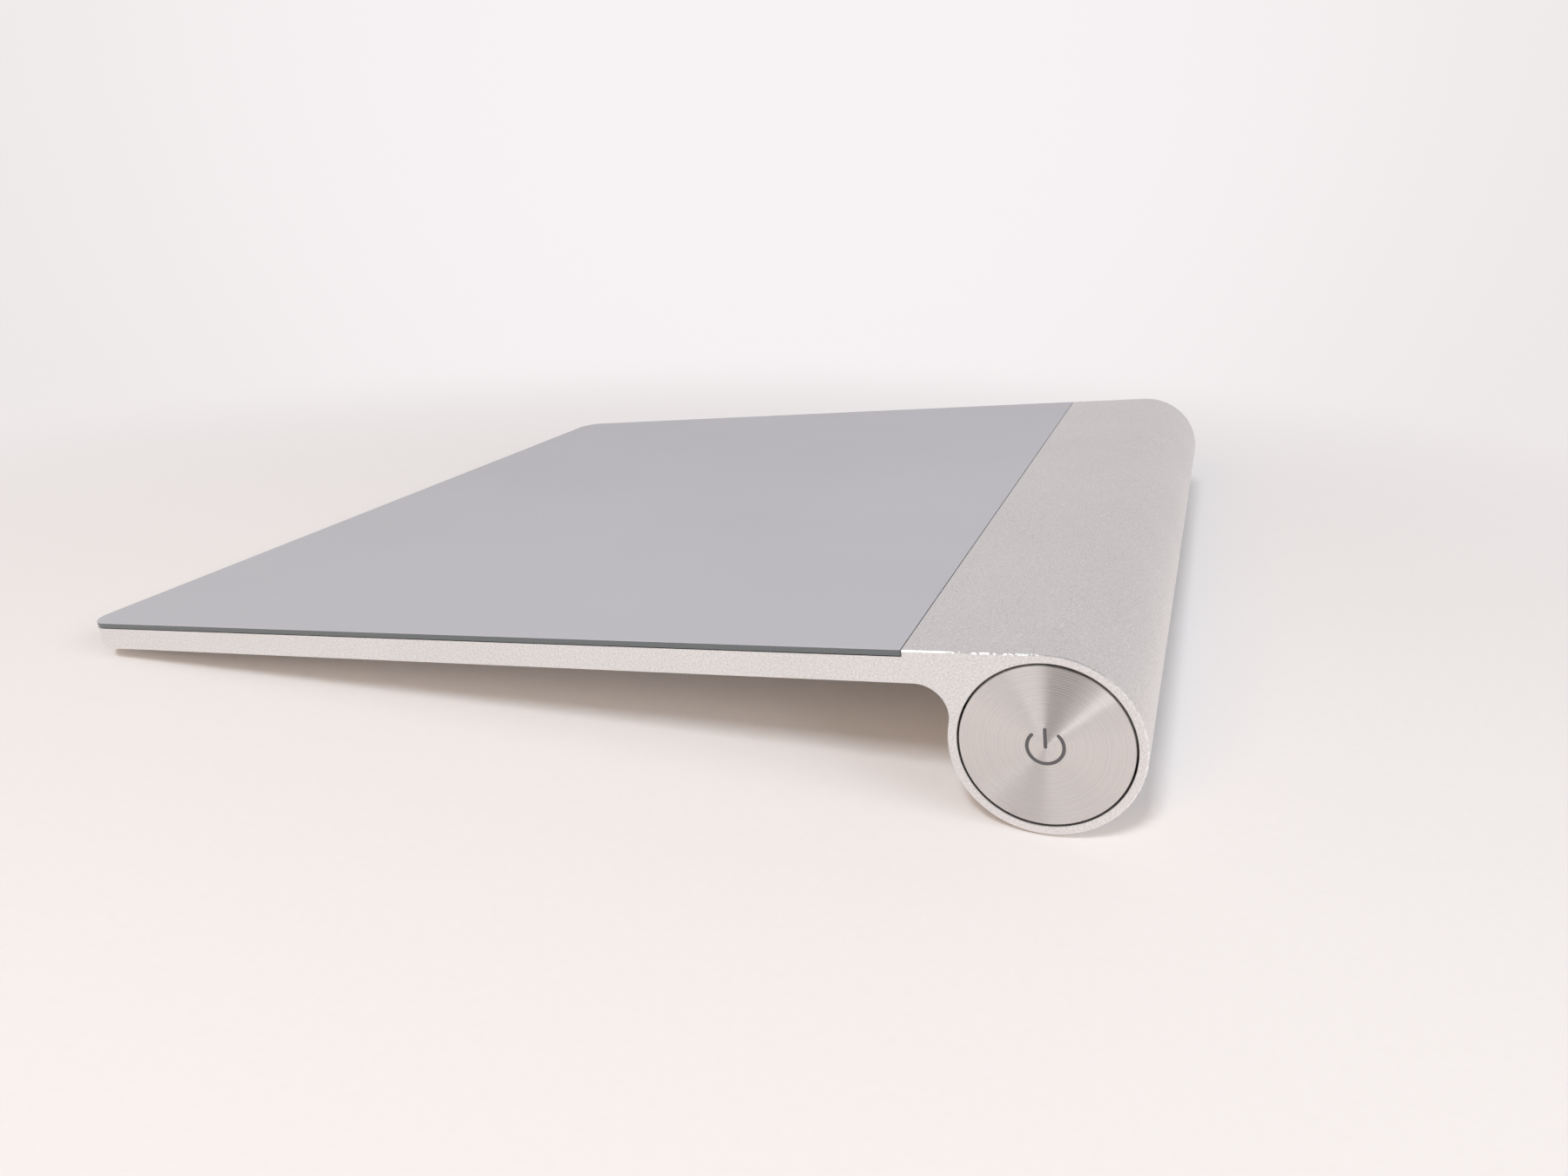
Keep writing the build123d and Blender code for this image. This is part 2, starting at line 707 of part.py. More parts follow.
screw_tip = switch_board_face - screw_length
with BuildPart() as contact_bulkhead:
    tube_ring(bulkhead_seat, bulkhead_face, bulkhead_bore_radius - running_gap, contact_pin_radius + touch_gap)
    with BuildSketch(tube_plane.offset(bulkhead_face)):
        with Locations((-screw_offset, 0), (screw_offset, 0)):
            Circle(screw_radius + touch_gap)
    extrude(amount=screw_tip - bulkhead_face - touch_gap, mode=Mode.SUBTRACT)
contact_bulkhead.part.label = "contact_bulkhead"
export_step(contact_bulkhead.part, "parts/contact_bulkhead.step")

with BuildPart() as power_switch_screws:
    with BuildSketch(tube_plane.offset(screw_tip)):
        with Locations((-screw_offset, 0), (screw_offset, 0)):
            Circle(screw_radius)
    extrude(amount=screw_length)
    with BuildSketch(tube_plane.offset(switch_board_face)):
        with Locations((-screw_offset, 0), (screw_offset, 0)):
            Circle(screw_head_radius)
    extrude(amount=screw_head_height)
    with BuildSketch(tube_plane.offset(switch_board_face + screw_head_height)):
        with Locations((-screw_offset, 0), (screw_offset, 0)):
            Rectangle(screw_head_radius, screw_cross)
            Rectangle(screw_cross, screw_head_radius)
    extrude(amount=-screw_head_height / 2, mode=Mode.SUBTRACT)
power_switch_screws.part.label = "power_switch_screws"
export_step(power_switch_screws.part, "parts/power_switch_screws.step")

with BuildPart() as positive_contact:
    tube_ring(first_cell_tip, bulkhead_seat, contact_radius)
    tube_ring(bulkhead_seat, bulkhead_face, contact_pin_radius)
positive_contact.part.label = "positive_contact"
export_step(positive_contact.part, "parts/positive_contact.step")

# Flat cable from the logic board's underside, through the slot, and down the switch board's face
leaf_top = tube_radius - board_under_level
leaf_front = -sqrt((bulkhead_bore_radius - running_gap) ** 2 - leaf_top**2)
cable_front = board_y - power_flex_width / 2
cable_start = board_x + board_length / 2 - power_flex_width
cable_end = switch_board_face + power_flex_width
with BuildPart() as power_flex_cable:
    with BuildSketch(top_plane.offset(-board_under_level)):
        with BuildLine():
            Polyline(
                (cable_start, cable_front),
                (cable_end, cable_front),
                (cable_end, leaf_front + power_flex_width),
                (switch_board_face, leaf_front + power_flex_width),
                (switch_board_face, cable_front + power_flex_width),
                (cable_start, cable_front + power_flex_width),
                close=True,
            )
        make_face()
    extrude(amount=-flex_thickness)
    with BuildSketch(tube_plane.offset(switch_board_face)):
        with Locations((leaf_front + power_flex_width / 2, leaf_top - power_flex_leaf / 2)):
            Rectangle(power_flex_width, power_flex_leaf)
    extrude(amount=flex_thickness)
power_flex_cable.part.label = "power_flex_cable"
export_step(power_flex_cable.part, "parts/power_flex_cable.step")

# Two cells, end to end, with their positive ends towards the button
cell_tip = first_cell_tip
for place in ("inner", "outer"):
    shoulder = cell_tip - cell_nub_height
    cell_end = cell_tip - cell_length
    with BuildPart() as battery:
        tube_ring(cell_end, shoulder, cell_radius)
        fillet(battery.edges().filter_by(GeomType.CIRCLE), cell_edge)
        tube_ring(shoulder, cell_tip, cell_nub_radius)
    battery.part.label = f"battery_{place}"
    export_step(battery.part, f"parts/battery_{place}.step")
    cell_tip = cell_end

# Battery cap, flush in the tube's left end, with a coin slot and a hollow for its contact
with BuildPart() as battery_cap:
    tube_ring(-half_width, cap_flange_seat, disc_radius)
    chamfer(battery_cap.faces().sort_by(Axis.X)[0].edges(), button_edge)
    tube_ring(cap_flange_seat, cap_skirt_end, cap_skirt_radius)
    tube_ring(cap_inner_floor, cap_skirt_end, cap_skirt_radius - cap_wall, mode=Mode.SUBTRACT)
    pivot_end = cap_inner_floor - pivot_length - running_gap
    tube_ring(pivot_end, cap_inner_floor, pivot_radius + running_gap, mode=Mode.SUBTRACT)
    with BuildSketch(tube_plane.offset(-half_width)):
        SlotOverall(coin_slot_length, coin_slot_width)
    extrude(amount=coin_slot_depth, mode=Mode.SUBTRACT)
    thread_start = cap_flange_seat + thread_height + running_gap
    thread_end = thread_start + thread_lead * thread_turns
    for start_number in range(thread_starts):
        path, (origin, heading) = coil(
            thread_start,
            thread_end,
            cap_skirt_radius,
            cap_skirt_radius,
            thread_turns,
            2 * pi * start_number / thread_starts,
        )
        with BuildSketch(Plane(origin=origin, z_dir=heading)):
            Circle(thread_height)
        sweep(path=path.wire())
battery_cap.part.label = "battery_cap"
export_step(battery_cap.part, "parts/battery_cap.step")

with BuildPart() as cap_contact_plate:
    tube_ring(contact_plate_outer, contact_plate_inner, contact_plate_radius)
    tube_ring(contact_plate_outer - pivot_length, contact_plate_outer, pivot_radius)
cap_contact_plate.part.label = "cap_contact_plate"
export_step(cap_contact_plate.part, "parts/cap_contact_plate.step")

with BuildPart() as cap_contact_spring:
    coil_first = contact_plate_inner + contact_wire / 2 + touch_gap
    coil_last = last_cell_end - contact_wire / 2 - touch_gap
    path, (origin, heading) = coil(
        coil_first, coil_last, contact_base_radius, contact_tip_radius, contact_turns
    )
    with BuildSketch(Plane(origin=origin, z_dir=heading)):
        Circle(contact_wire / 2)
    sweep(path=path.wire())
cap_contact_spring.part.label = "cap_contact_spring"
export_step(cap_contact_spring.part, "parts/cap_contact_spring.step")
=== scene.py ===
"""Looks of a wireless trackpad: finishes, the shells seen close up, and a plain studio around it.

Run as a script in Blender. Lengths are metres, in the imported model's own frame. Places on the
plate are (across, along, above): across the width, rearwards along its top from the line where
it meets the tube, and square to its top.
"""

from math import asin, atan2, cos, hypot, pi, radians, sin, sqrt, tau

import bmesh
import bpy
from bpy.props import FloatProperty, FloatVectorProperty, PointerProperty
from mathutils import Matrix, Vector


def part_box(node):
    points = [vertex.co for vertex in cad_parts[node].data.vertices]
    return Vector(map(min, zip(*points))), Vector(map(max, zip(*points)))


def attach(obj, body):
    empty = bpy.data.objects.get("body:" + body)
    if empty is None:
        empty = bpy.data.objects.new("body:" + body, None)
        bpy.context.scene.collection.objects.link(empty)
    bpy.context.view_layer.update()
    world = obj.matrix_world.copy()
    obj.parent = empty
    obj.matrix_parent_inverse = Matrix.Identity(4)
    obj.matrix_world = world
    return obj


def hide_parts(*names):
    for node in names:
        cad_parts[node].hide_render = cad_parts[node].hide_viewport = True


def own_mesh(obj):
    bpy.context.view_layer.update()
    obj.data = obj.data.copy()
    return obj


bl_info = {
    "name": "Wireless trackpad",
    "version": (1, 0, 0),
    "blender": (4, 5, 0),
    "location": "3D View > Sidebar > Trackpad",
    "description": "Finishes and studio for a glass and aluminium trackpad",
    "category": "Object",
}

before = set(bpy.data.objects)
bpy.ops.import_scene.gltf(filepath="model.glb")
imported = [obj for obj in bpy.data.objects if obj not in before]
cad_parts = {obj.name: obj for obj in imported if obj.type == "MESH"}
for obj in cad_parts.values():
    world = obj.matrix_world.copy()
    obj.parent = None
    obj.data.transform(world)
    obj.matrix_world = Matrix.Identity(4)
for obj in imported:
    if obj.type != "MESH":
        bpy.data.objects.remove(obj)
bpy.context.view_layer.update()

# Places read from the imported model: its half width, the tube's axis and radius, the glass's rear
button_low, button_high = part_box("power_button")
housing_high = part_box("housing")[1]
half_width = housing_high.x
axis_y = (button_low.y + button_high.y) / 2
axis_z = (button_low.z + button_high.z) / 2
tube_radius = housing_high.z - axis_z
glass_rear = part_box("touch_glass")[1].y

# Knocks on the right end's edge: degrees up round the tube from its rear, width and depth
knocks = (
    (-17, 0.00035, 0.00012),
    (-28, 0.00035, 0.00014),
    (-41, 0.0003, 0.0001),
    (-49, 0.00022, 0.00008),
)


def length(name, description, default):
    """A size that a user may change, in metres."""
    return FloatProperty(
        name=name, description=description, default=default, min=0.0, unit="LENGTH", precision=5
    )


def share(name, description, default):
    """A share from nothing to all."""
    return FloatProperty(
        name=name, description=description, default=default, min=0.0, max=1.0, subtype="FACTOR"
    )


def colour(name, description, default):
    """A colour in linear light."""
    return FloatVectorProperty(
        name=name, description=description, default=default, min=0.0, max=1.0, subtype="COLOR"
    )


def power(name, description, default):
    """A lamp's power, in watts."""
    return FloatProperty(name=name, description=description, default=default, min=0.0, unit="POWER")


class TrackpadSizes(bpy.types.PropertyGroup):
    """Sizes of the shells that are made here."""

    depth: length("Depth", "From the plate's front to the tube's rear", 0.131)
    front_height: length("Front height", "Height of the front top edge over the table", 0.00488)
    plate_thickness: length("Plate thickness", "From the glass's top to the plate's underside", 0.00345)
    strip_depth: length("Strip depth", "Metal between the glass and the tube's top line", 0.01306)
    web_radius: length("Web radius", "Hollow where the plate's underside meets the tube", 0.00325)
    corner_radius: length("Corner radius", "Front corners in plan", 0.0035)
    edge_round: length("Edge round", "Rounding of the housing's end edges", 0.00018)
    pocket_corner: length("Pocket corner", "Corners of the plate's pocket in plan", 0.0016)
    rim_width: length("Rim width", "Metal left round the plate's pocket", 0.0026)
    ledge_width: length("Ledge width", "Step that the bottom cover's tape sticks to", 0.0011)
    ledge_level: length("Glass seat", "Depth of the step that carries the glass", 0.0007)
    cover_level: length("Cover seat", "Depth of the step that carries the cover", 0.00275)
    glass_thickness: length("Glass thickness", "Thickness of the touch glass", 0.0006)
    glass_seam: length("Glass seam", "Gap between the glass and the metal strip", 0.0001)
    glass_round: length("Glass round", "Rounding of the glass's top edge", 0.0001)
    end_rim: length("End rim", "Metal round the bore at the tube's ends", 0.00089)
    mouth_break: length("Mouth break", "Bevel at the bore's mouths", 0.00006)
    cap_flange: length("Cap flange", "Recess that the battery cap's head sits in", 0.002)
    cell_bore: length("Cell bore", "Radius of the bore round the cells", 0.0074)
    thread_bore: length("Thread bore", "Radius of the bore round the cap's thread", 0.007855)
    bulkhead_bore: length("Bulkhead bore", "Radius of the bore round the bulkhead", 0.0076)
    button_gap: length("Button gap", "Gap round the power button", 0.0002)
    button_round: length("Button round", "Rounding of the power button's edge", 0.00012)
    button_thickness: length("Button thickness", "The power button's disc", 0.0022)
    stem_radius: length("Stem radius", "Stem behind the power button", 0.00225)
    stem_groove: length("Stem groove", "Depth of the clip's groove in the stem", 0.0005)
    mark_radius: length("Mark radius", "Middle line of the mark's ring", 0.0017)
    mark_stroke: length("Mark stroke", "Width of the mark's lines", 0.00034)
    mark_bar: length("Mark bar", "Top of the mark's bar over the button's middle", 0.00178)
    mark_depth: length("Mark depth", "How deep the mark is cut into the button", 0.00006)
    mark_gap: FloatProperty(
        name="Mark gap", description="Opening of the mark's ring", default=radians(92), subtype="ANGLE"
    )
    ring_pitch: length("Ring pitch", "Pitch of the turned rings on the button", 0.00025)
    spring_wire: length("Spring wire", "Thickness of the return spring's wire", 0.0004)
    press_travel: length("Press travel", "How far the power button goes in", 0.0005)


class TrackpadColours(bpy.types.PropertyGroup):
    """Colours of the finishes."""

    metal: colour("Metal", "Blasted and anodised aluminium", (0.885, 0.865, 0.855))
    turned: colour("Turned metal", "Turned ends of the tube", (0.79, 0.755, 0.735))
    glass: colour("Glass", "Layer seen through the satin glass", (0.455, 0.46, 0.51))
    glass_edge: colour("Glass edge", "Ground edge of the glass", (0.1, 0.115, 0.13))
    mark: colour("Mark", "Fill of the mark on the button", (0.075, 0.075, 0.085))
    plastic: colour("Cover plastic", "Bottom cover", (0.68, 0.68, 0.7))
    rubber: colour("Rubber", "Feet and strips", (0.17, 0.17, 0.18))
    board: colour("Boards", "Solder mask of the boards", (0.03, 0.12, 0.07))


class TrackpadStudio(bpy.types.PropertyGroup):
    """The table, the wall and the lamps."""

    table: colour("Table", "Pale table top", (0.82, 0.802, 0.812))
    wall: colour("Wall", "Pale wall behind", (0.855, 0.815, 0.815))
    # Glow: a painted pool of light, a lighter colour in the middle of the wall that the camera sees
    glow: colour("Glow", "Lighter middle of the wall", (0.925, 0.89, 0.9))
    horizon: colour("Horizon", "Colour of the low light from all round", (0.71, 0.685, 0.69))
    overhead: colour("Overhead", "Colour of the light from above", (0.65, 0.625, 0.63))
    fill: FloatProperty(
        name="Fill", description="Strength of the light from all round", default=1.0, min=0.0
    )
    shade: share("Shade", "Light left in the dim gap of the room, behind the camera", 0.05)
    matt_fill: share("Matt fill", "Share of the light from all round that matt things get", 0.62)
    underlight: share("Underlight", "Light that the table lets through to the underside", 0.1)
    key: power("Key lamp", "Lamp on the camera's side, for matt things", 4.9)
    warm: power("Warm lamp", "Low lamp on the camera's side, for matt things", 4.1)
    back: power("Back lamp", "Lamp behind the tube, for matt things", 4.5)
    front_strip: power("Front strip", "Long lamp in front, seen only in shiny things", 0.6)
    rear_strip: power("Rear strip", "Long lamp behind, seen only in shiny things", 0.3)


# Places on the plate and round the tube


def slope_of(sizes):
    """The plate's slope: its top runs from the front edge to touch the tube."""
    rise = axis_z - sizes.front_height
    run = sizes.depth - tube_radius
    return atan2(rise, run) + asin(tube_radius / hypot(run, rise))


class Plate:
    """Turns (across, along, above) into a point of the model's frame."""

    def __init__(self, sizes):
        slope = slope_of(sizes)
        self.rearwards = Vector((0, cos(slope), sin(slope)))
        self.upwards = Vector((0, -sin(slope), cos(slope)))
        self.centre = Vector((0, axis_y, axis_z))
        self.crest = self.centre + self.upwards * tube_radius
        front = Vector((0, axis_y + tube_radius - sizes.depth, sizes.front_height))
        self.length = (self.crest - front).length

    def point(self, across, along, above):
        return self.crest + Vector((across, 0, 0)) + self.rearwards * along + self.upwards * above

    def around(self, across, along, above):
        """The same, but measured from the tube's axis."""
        return self.centre + Vector((across, 0, 0)) + self.rearwards * along + self.upwards * above


def arc(centre, radius, first, last, steps):
    """Points of an arc in a plane, from one angle to another."""
    angles = [first + (last - first) * step / steps for step in range(steps + 1)]
    return [(centre[0] + radius * cos(a), centre[1] + radius * sin(a)) for a in angles]


def quarter_round(radius, steps):
    """A rounded edge as (back from the end, in from the side) pairs, from the side to the end."""
    angles = [step / steps * pi / 2 for step in range(steps + 1)]
    return [(radius * (1 - sin(a)), radius * (1 - cos(a))) for a in angles]


def rounded_rectangle(width, front, rear, radius, steps=12):
    """Outline in plan, with four round corners."""
    x, low, high = width / 2 - radius, front + radius, rear - radius
    return (
        arc((x, low), radius, -pi / 2, 0, steps)
        + arc((x, high), radius, 0, pi / 2, steps)
        + arc((-x, high), radius, pi / 2, pi, steps)
        + arc((-x, low), radius, pi, 3 * pi / 2, steps)
    )


def front_rounded(sizes, plate, inset, rear, steps=24):
    """Outline of the glass in plan: round front corners, square rear ones."""
    reach = half_width - inset
    radius = sizes.corner_radius - inset
    x, low = reach - radius, -plate.length + inset + radius
    return (
        arc((-x, low), radius, pi, 3 * pi / 2, steps)
        + arc((x, low), radius, -pi / 2, 0, steps)
        + [(reach, rear), (-reach, rear)]
    )


# Mesh making


def skin(work, rings, finish=0, closed_ends=True):
    """Faces between rings of points, and a face over each end."""
    rows = [[work.verts.new(point) for point in ring] for ring in rings]
    for lower, upper in zip(rows, rows[1:]):
        for n, corner in enumerate(lower):
            beside = (n + 1) % len(lower)
            face = work.faces.new((corner, lower[beside], upper[beside], upper[n]))
            face.material_index = finish
            face.smooth = True
    if closed_ends:
        work.faces.new(list(reversed(rows[0]))).smooth = True
        work.faces.new(rows[-1]).smooth = True
    return rows


def lathe(work, plate, profile, segments=256):
    """A body turned on the tube's axis, from (place along the tube, radius) pairs."""
    spokes = [tau * n / segments for n in range(segments)]
    rings = [
        [plate.around(place, radius * cos(a), radius * sin(a)) for a in spokes]
        for place, radius in profile
    ]
    return skin(work, rings)


def coil(work, low, high, wire, turns, steps=48, sides=12):
    """A spring on the tube's axis that fills the box from low to high."""
    reach = (high.y - low.y - wire) / 2
    run = high.x - low.x - wire
    rings = []
    for n in range(round(turns * steps) + 1):
        angle = tau * n / steps
        outwards = Vector((0, cos(angle), sin(angle)))
        onwards = Vector((run / (tau * turns), -reach * sin(angle), reach * cos(angle)))
        aside = onwards.normalized().cross(outwards)
        place = low.x + wire / 2 + run * n / (turns * steps)
        middle = Vector((place, axis_y, axis_z)) + outwards * reach
        spokes = [tau * side / sides for side in range(sides)]
        rings.append([middle + (outwards * cos(a) + aside * sin(a)) * (wire / 2) for a in spokes])
    return skin(work, rings)


def finished_object(name, work, *finishes):
    """An object of the finished mesh, with its normals outwards."""
    bmesh.ops.recalc_face_normals(work, faces=work.faces)
    mesh = bpy.data.meshes.new(name)
    work.to_mesh(mesh)
    work.free()
    made = bpy.data.objects.new(name, mesh)
    bpy.context.scene.collection.objects.link(made)
    for finish in finishes:
        mesh.materials.append(finish)
    return made


def carve(target, cutter):
    """Cuts one object with another, and removes the cutter."""
    cut = target.modifiers.new("cut", "BOOLEAN")
    cut.operation = "DIFFERENCE"
    cut.solver = "EXACT"
    cut.object = cutter
    shaped = target.evaluated_get(bpy.context.evaluated_depsgraph_get())
    result = bpy.data.meshes.new_from_object(shaped)
    target.modifiers.clear()
    old, target.data = target.data, result
    result.name = target.name
    bpy.data.meshes.remove(old)
    spare = cutter.data
    bpy.data.objects.remove(cutter)
    bpy.data.meshes.remove(spare)


def crisp(piece, angle=radians(28)):
    """Smooth faces with sharp edges kept, flats that stay flat, and no slivers left by cutting."""
    work = bmesh.new()
    work.from_mesh(piece.data)
    bmesh.ops.dissolve_degenerate(work, dist=1e-7, edges=work.edges)
    work.to_mesh(piece.data)
    work.free()
    piece.data.shade_smooth()
    piece.data.set_sharp_from_angle(angle=angle)
    weigh = piece.modifiers.new("flats", "WEIGHTED_NORMAL")
    weigh.keep_sharp = True


def part_finishes(piece):
    """Keeps the shading of two finishes apart where they meet."""
    work = bmesh.new()
    work.from_mesh(piece.data)
    for edge in work.edges:
        if len({face.material_index for face in edge.link_faces}) > 1:
            edge.smooth = False
    work.to_mesh(piece.data)
    work.free()


def seat(piece, body, node):
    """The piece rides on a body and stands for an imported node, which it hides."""
    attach(piece, body)
    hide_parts(node)


# Finishes


class Nodes:
    """Short ways to make and join the nodes of a material or a world."""

    def __init__(self, owner, place):
        owner.use_nodes = True
        self.tree = owner.node_tree
        self.place = self.node("ShaderNodeTexCoord").outputs[place]

    def node(self, kind, **settings):
        made = self.tree.nodes.new(kind)
        for name, value in settings.items():
            setattr(made, name, value)
        return made

    def feed(self, target, value):
        if isinstance(value, bpy.types.NodeSocket):
            self.tree.links.new(value, target)
        else:
            target.default_value = value

    def feed_all(self, targets, values):
        for target, value in zip(targets, values):
            self.feed(target, value)

    def maths(self, operation, *values):
        made = self.node("ShaderNodeMath", operation=operation)
        self.feed_all(made.inputs, values)
        return made.outputs[0]

    def product(self, first, *others):
        for other in others:
            first = self.maths("MULTIPLY", first, other)
        return first

    def vector(self, operation, *values, output="Vector"):
        made = self.node("ShaderNodeVectorMath", operation=operation)
        self.feed_all(made.inputs, values)
        return made.outputs[output]

    def noise(self, size, detail=2.0, place=None):
        """Noise whose grains are about as large as size, in metres."""
        made = self.node("ShaderNodeTexNoise")
        self.feed(made.inputs["Vector"], place or self.place)
        made.inputs["Scale"].default_value = 1 / size
        made.inputs["Detail"].default_value = detail
        return made.outputs["Fac"]

    def spread(self, value, low, high, first=0.3, last=0.7, shape="LINEAR"):
        """Maps one range, at first a noise's usual one, to another."""
        made = self.node("ShaderNodeMapRange", interpolation_type=shape)
        self.feed_all(made.inputs, (value, first, last, low, high))
        return made.outputs[0]

    def blend(self, share, first, second):
        made = self.node("ShaderNodeMix", data_type="RGBA")
        self.feed(made.inputs[0], share)
        for target, value in zip((made.inputs[6], made.inputs[7]), (first, second)):
            self.feed(target, value if isinstance(value, bpy.types.NodeSocket) else (*value, 1.0))
        return made.outputs[2]

    def axis_part(self, letter):
        return self.node_output("ShaderNodeSeparateXYZ", self.place, letter)

    def from_axis(self):
        """Distance from the tube's axis."""
        spoke = self.vector("SUBTRACT", self.place, (0, axis_y, axis_z))
        spoke = self.vector("MULTIPLY", spoke, (0, 1, 1))
        return self.vector("LENGTH", spoke, output="Value")

    def node_output(self, kind, value, name):
        made = self.node(kind)
        self.feed(made.inputs[0], value)
        return made.outputs[name]

    def relief(self, height, depth):
        made = self.node("ShaderNodeBump")
        made.inputs["Distance"].default_value = depth
        self.feed(made.inputs["Height"], height)
        return made.outputs["Normal"]

    def mixed(self, share, first, second):
        """One shader, or another by a share."""
        made = self.node("ShaderNodeMixShader")
        self.feed_all(made.inputs, (share, first, second))
        return made.outputs[0]


class Finish(Nodes):
    """A material in the making."""

    def __init__(self, name, metallic=0.0, roughness=0.5):
        self.material = bpy.data.materials.new(name)
        super().__init__(self.material, "Object")
        self.shader = self.tree.nodes["Principled BSDF"]
        self.shader.inputs["Metallic"].default_value = metallic
        self.shader.inputs["Roughness"].default_value = roughness

    def set(self, **values):
        for name, value in values.items():
            self.feed(self.shader.inputs[name.replace("_", " ").title()], value)


def scaled(colour, factor):
    """A colour made lighter or darker."""
    return tuple(min(1.0, part * factor) for part in colour)


def blasted_metal(name, colour, grain=0.0002):
    """Bead-blasted, clear anodised aluminium: fine sparkling pits and faint clouds."""
    finish = Finish(name, metallic=1.0)
    pits = finish.noise(grain, 3.0)
    clouds = finish.noise(0.012, 3.0)
    tone = finish.maths("ADD", finish.spread(pits, 0.0, 0.88), finish.spread(clouds, 0.0, 0.12))
    finish.set(
        base_color=finish.blend(tone, scaled(colour, 0.84), scaled(colour, 1.12)),
        roughness=finish.spread(pits, 0.5, 0.36),
        normal=finish.relief(pits, grain * 0.12),
    )
    return finish.material


def bare_edge(name, colour):
    """Edge of the blasted skin, worn bright in flecks on its upper and rear sides.

    Up to the tube's top each fleck is a small flat between the end face and the shell, and so
    faces both. Beside the glass the flecks join into a line, and just behind the tube's top they
    stay dull.
    """
    worn_until, plain_from = glass_rear + 0.004, glass_rear + 0.0055
    dull_middle = axis_y + 0.003
    fleck, grain = 0.00035, 0.00012
    finish = Finish(name, metallic=1.0)
    facing = finish.node("ShaderNodeTexCoord").outputs["Normal"]
    outwards = finish.vector("NORMALIZE", finish.vector("MULTIPLY", facing, (0, 1, 1)))
    endwards = finish.vector("MULTIPLY", finish.vector("SIGN", facing), (0.87, 0, 0))
    flat = finish.vector("ADD", endwards, finish.vector("MULTIPLY", outwards, (0, 0.49, 0.49)))
    upper_rear = finish.vector("DOT_PRODUCT", outwards, (0, 0.6, 0.8), output="Value")
    worn = finish.spread(upper_rear, 0.0, 1.0, -0.15, 0.1)
    along = finish.axis_part("Y")
    by_glass = finish.spread(along, 1.0, 0.0, worn_until, plain_from)
    by_crest = finish.spread(along, 1.0, 0.0, axis_y - 0.001, axis_y)
    patches = finish.spread(finish.noise(fleck, 1.0), 0.0, 1.0, 0.45, 0.53)
    bright = finish.product(finish.maths("MAXIMUM", patches, by_glass), worn)
    turned_away = finish.vector("ABSOLUTE", facing)
    endward_share = finish.vector("DOT_PRODUCT", turned_away, (1, 0, 0), output="Value")
    end_half = finish.spread(endward_share, 0.0, 1.0, 0.4, 0.6)
    flats = finish.product(bright, by_crest, end_half)
    from_dull = finish.maths("ABSOLUTE", finish.maths("SUBTRACT", along, dull_middle))
    polished = finish.product(bright, finish.spread(from_dull, 0.0, 1.0, 0.002, 0.0035))
    fine = finish.relief(finish.noise(grain, 2.0), 0.00002)
    normal = finish.node("ShaderNodeMix", data_type="VECTOR")
    finish.feed_all((normal.inputs[0], normal.inputs[4], normal.inputs[5]), (flats, fine, flat))
    finish.set(
        base_color=finish.blend(bright, colour, scaled(colour, 1.13)),
        roughness=finish.spread(polished, 0.45, 0.24, 0.0, 1.0),
        normal=normal.outputs[1],
    )
    return finish.material


def turned_metal(name, colour, pitch):
    """Aluminium turned on a lathe: rings round the tube's axis, which spread light across them."""
    finish = Finish(name, metallic=1.0)
    groove_depth, cone = pitch * 0.03, 0.18
    reach = finish.from_axis()
    wave = finish.maths("SINE", finish.product(reach, tau / pitch))
    noise = finish.node("ShaderNodeTexNoise", noise_dimensions="1D")
    noise.inputs["Scale"].default_value = 1.5 / pitch
    noise.inputs["Detail"].default_value = 3.0
    finish.feed(noise.inputs["W"], reach)
    bands = noise.outputs["Fac"]
    cut = finish.product(wave, finish.spread(bands, 0.4, 1.0), groove_depth)
    face = finish.maths("SUBTRACT", cut, finish.product(reach, cone))
    uneven = finish.spread(bands, 0.0, 1.0)
    finish.set(
        base_color=finish.blend(uneven, scaled(colour, 0.93), scaled(colour, 1.05)),
        roughness=finish.spread(bands, 0.32, 0.36),
        normal=finish.relief(face, 1.0),
        tangent=finish.node("ShaderNodeTangent", direction_type="RADIAL", axis="X").outputs[0],
    )
    finish.shader.inputs["Anisotropic"].default_value = 1.0
    finish.shader.inputs["Anisotropic Rotation"].default_value = 0.25
    return finish.material


def satin_glass(name, colour, edge=False):
    """Etched glass over a grey layer; its ground edge is darker and smoother."""
    finish = Finish(name)
    grain = finish.noise(0.0001, 2.0)
    clouds = finish.noise(0.03, 3.0)
    tone = finish.maths("ADD", finish.spread(grain, 0.0, 0.5), finish.spread(clouds, 0.0, 0.5))
    finish.set(
        base_color=finish.blend(tone, scaled(colour, 0.96), scaled(colour, 1.04)),
        roughness=finish.spread(grain, 0.24, 0.3) if edge else finish.spread(grain, 0.33, 0.42),
        normal=finish.relief(grain, 0.000002 if edge else 0.000004),
    )
    finish.shader.inputs["IOR"].default_value = 1.5
    return finish.material


def moulded(name, colour, grain=0.00025, roughness=0.5, depth=0.00001, contrast=0.06):
    """Moulded plastic or rubber with a fine spark-eroded texture."""
    finish = Finish(name)
    texture = finish.noise(grain, 3.0)
    clouds = finish.noise(0.009, 2.0)
    tone = finish.maths("ADD", finish.spread(texture, 0.0, 0.6), finish.spread(clouds, 0.0, 0.4))
    finish.set(
        base_color=finish.blend(tone, scaled(colour, 1 - contrast), scaled(colour, 1 + contrast)),
        roughness=finish.spread(texture, roughness * 1.1, roughness * 0.88),
        normal=finish.relief(texture, depth),
    )
    return finish.material


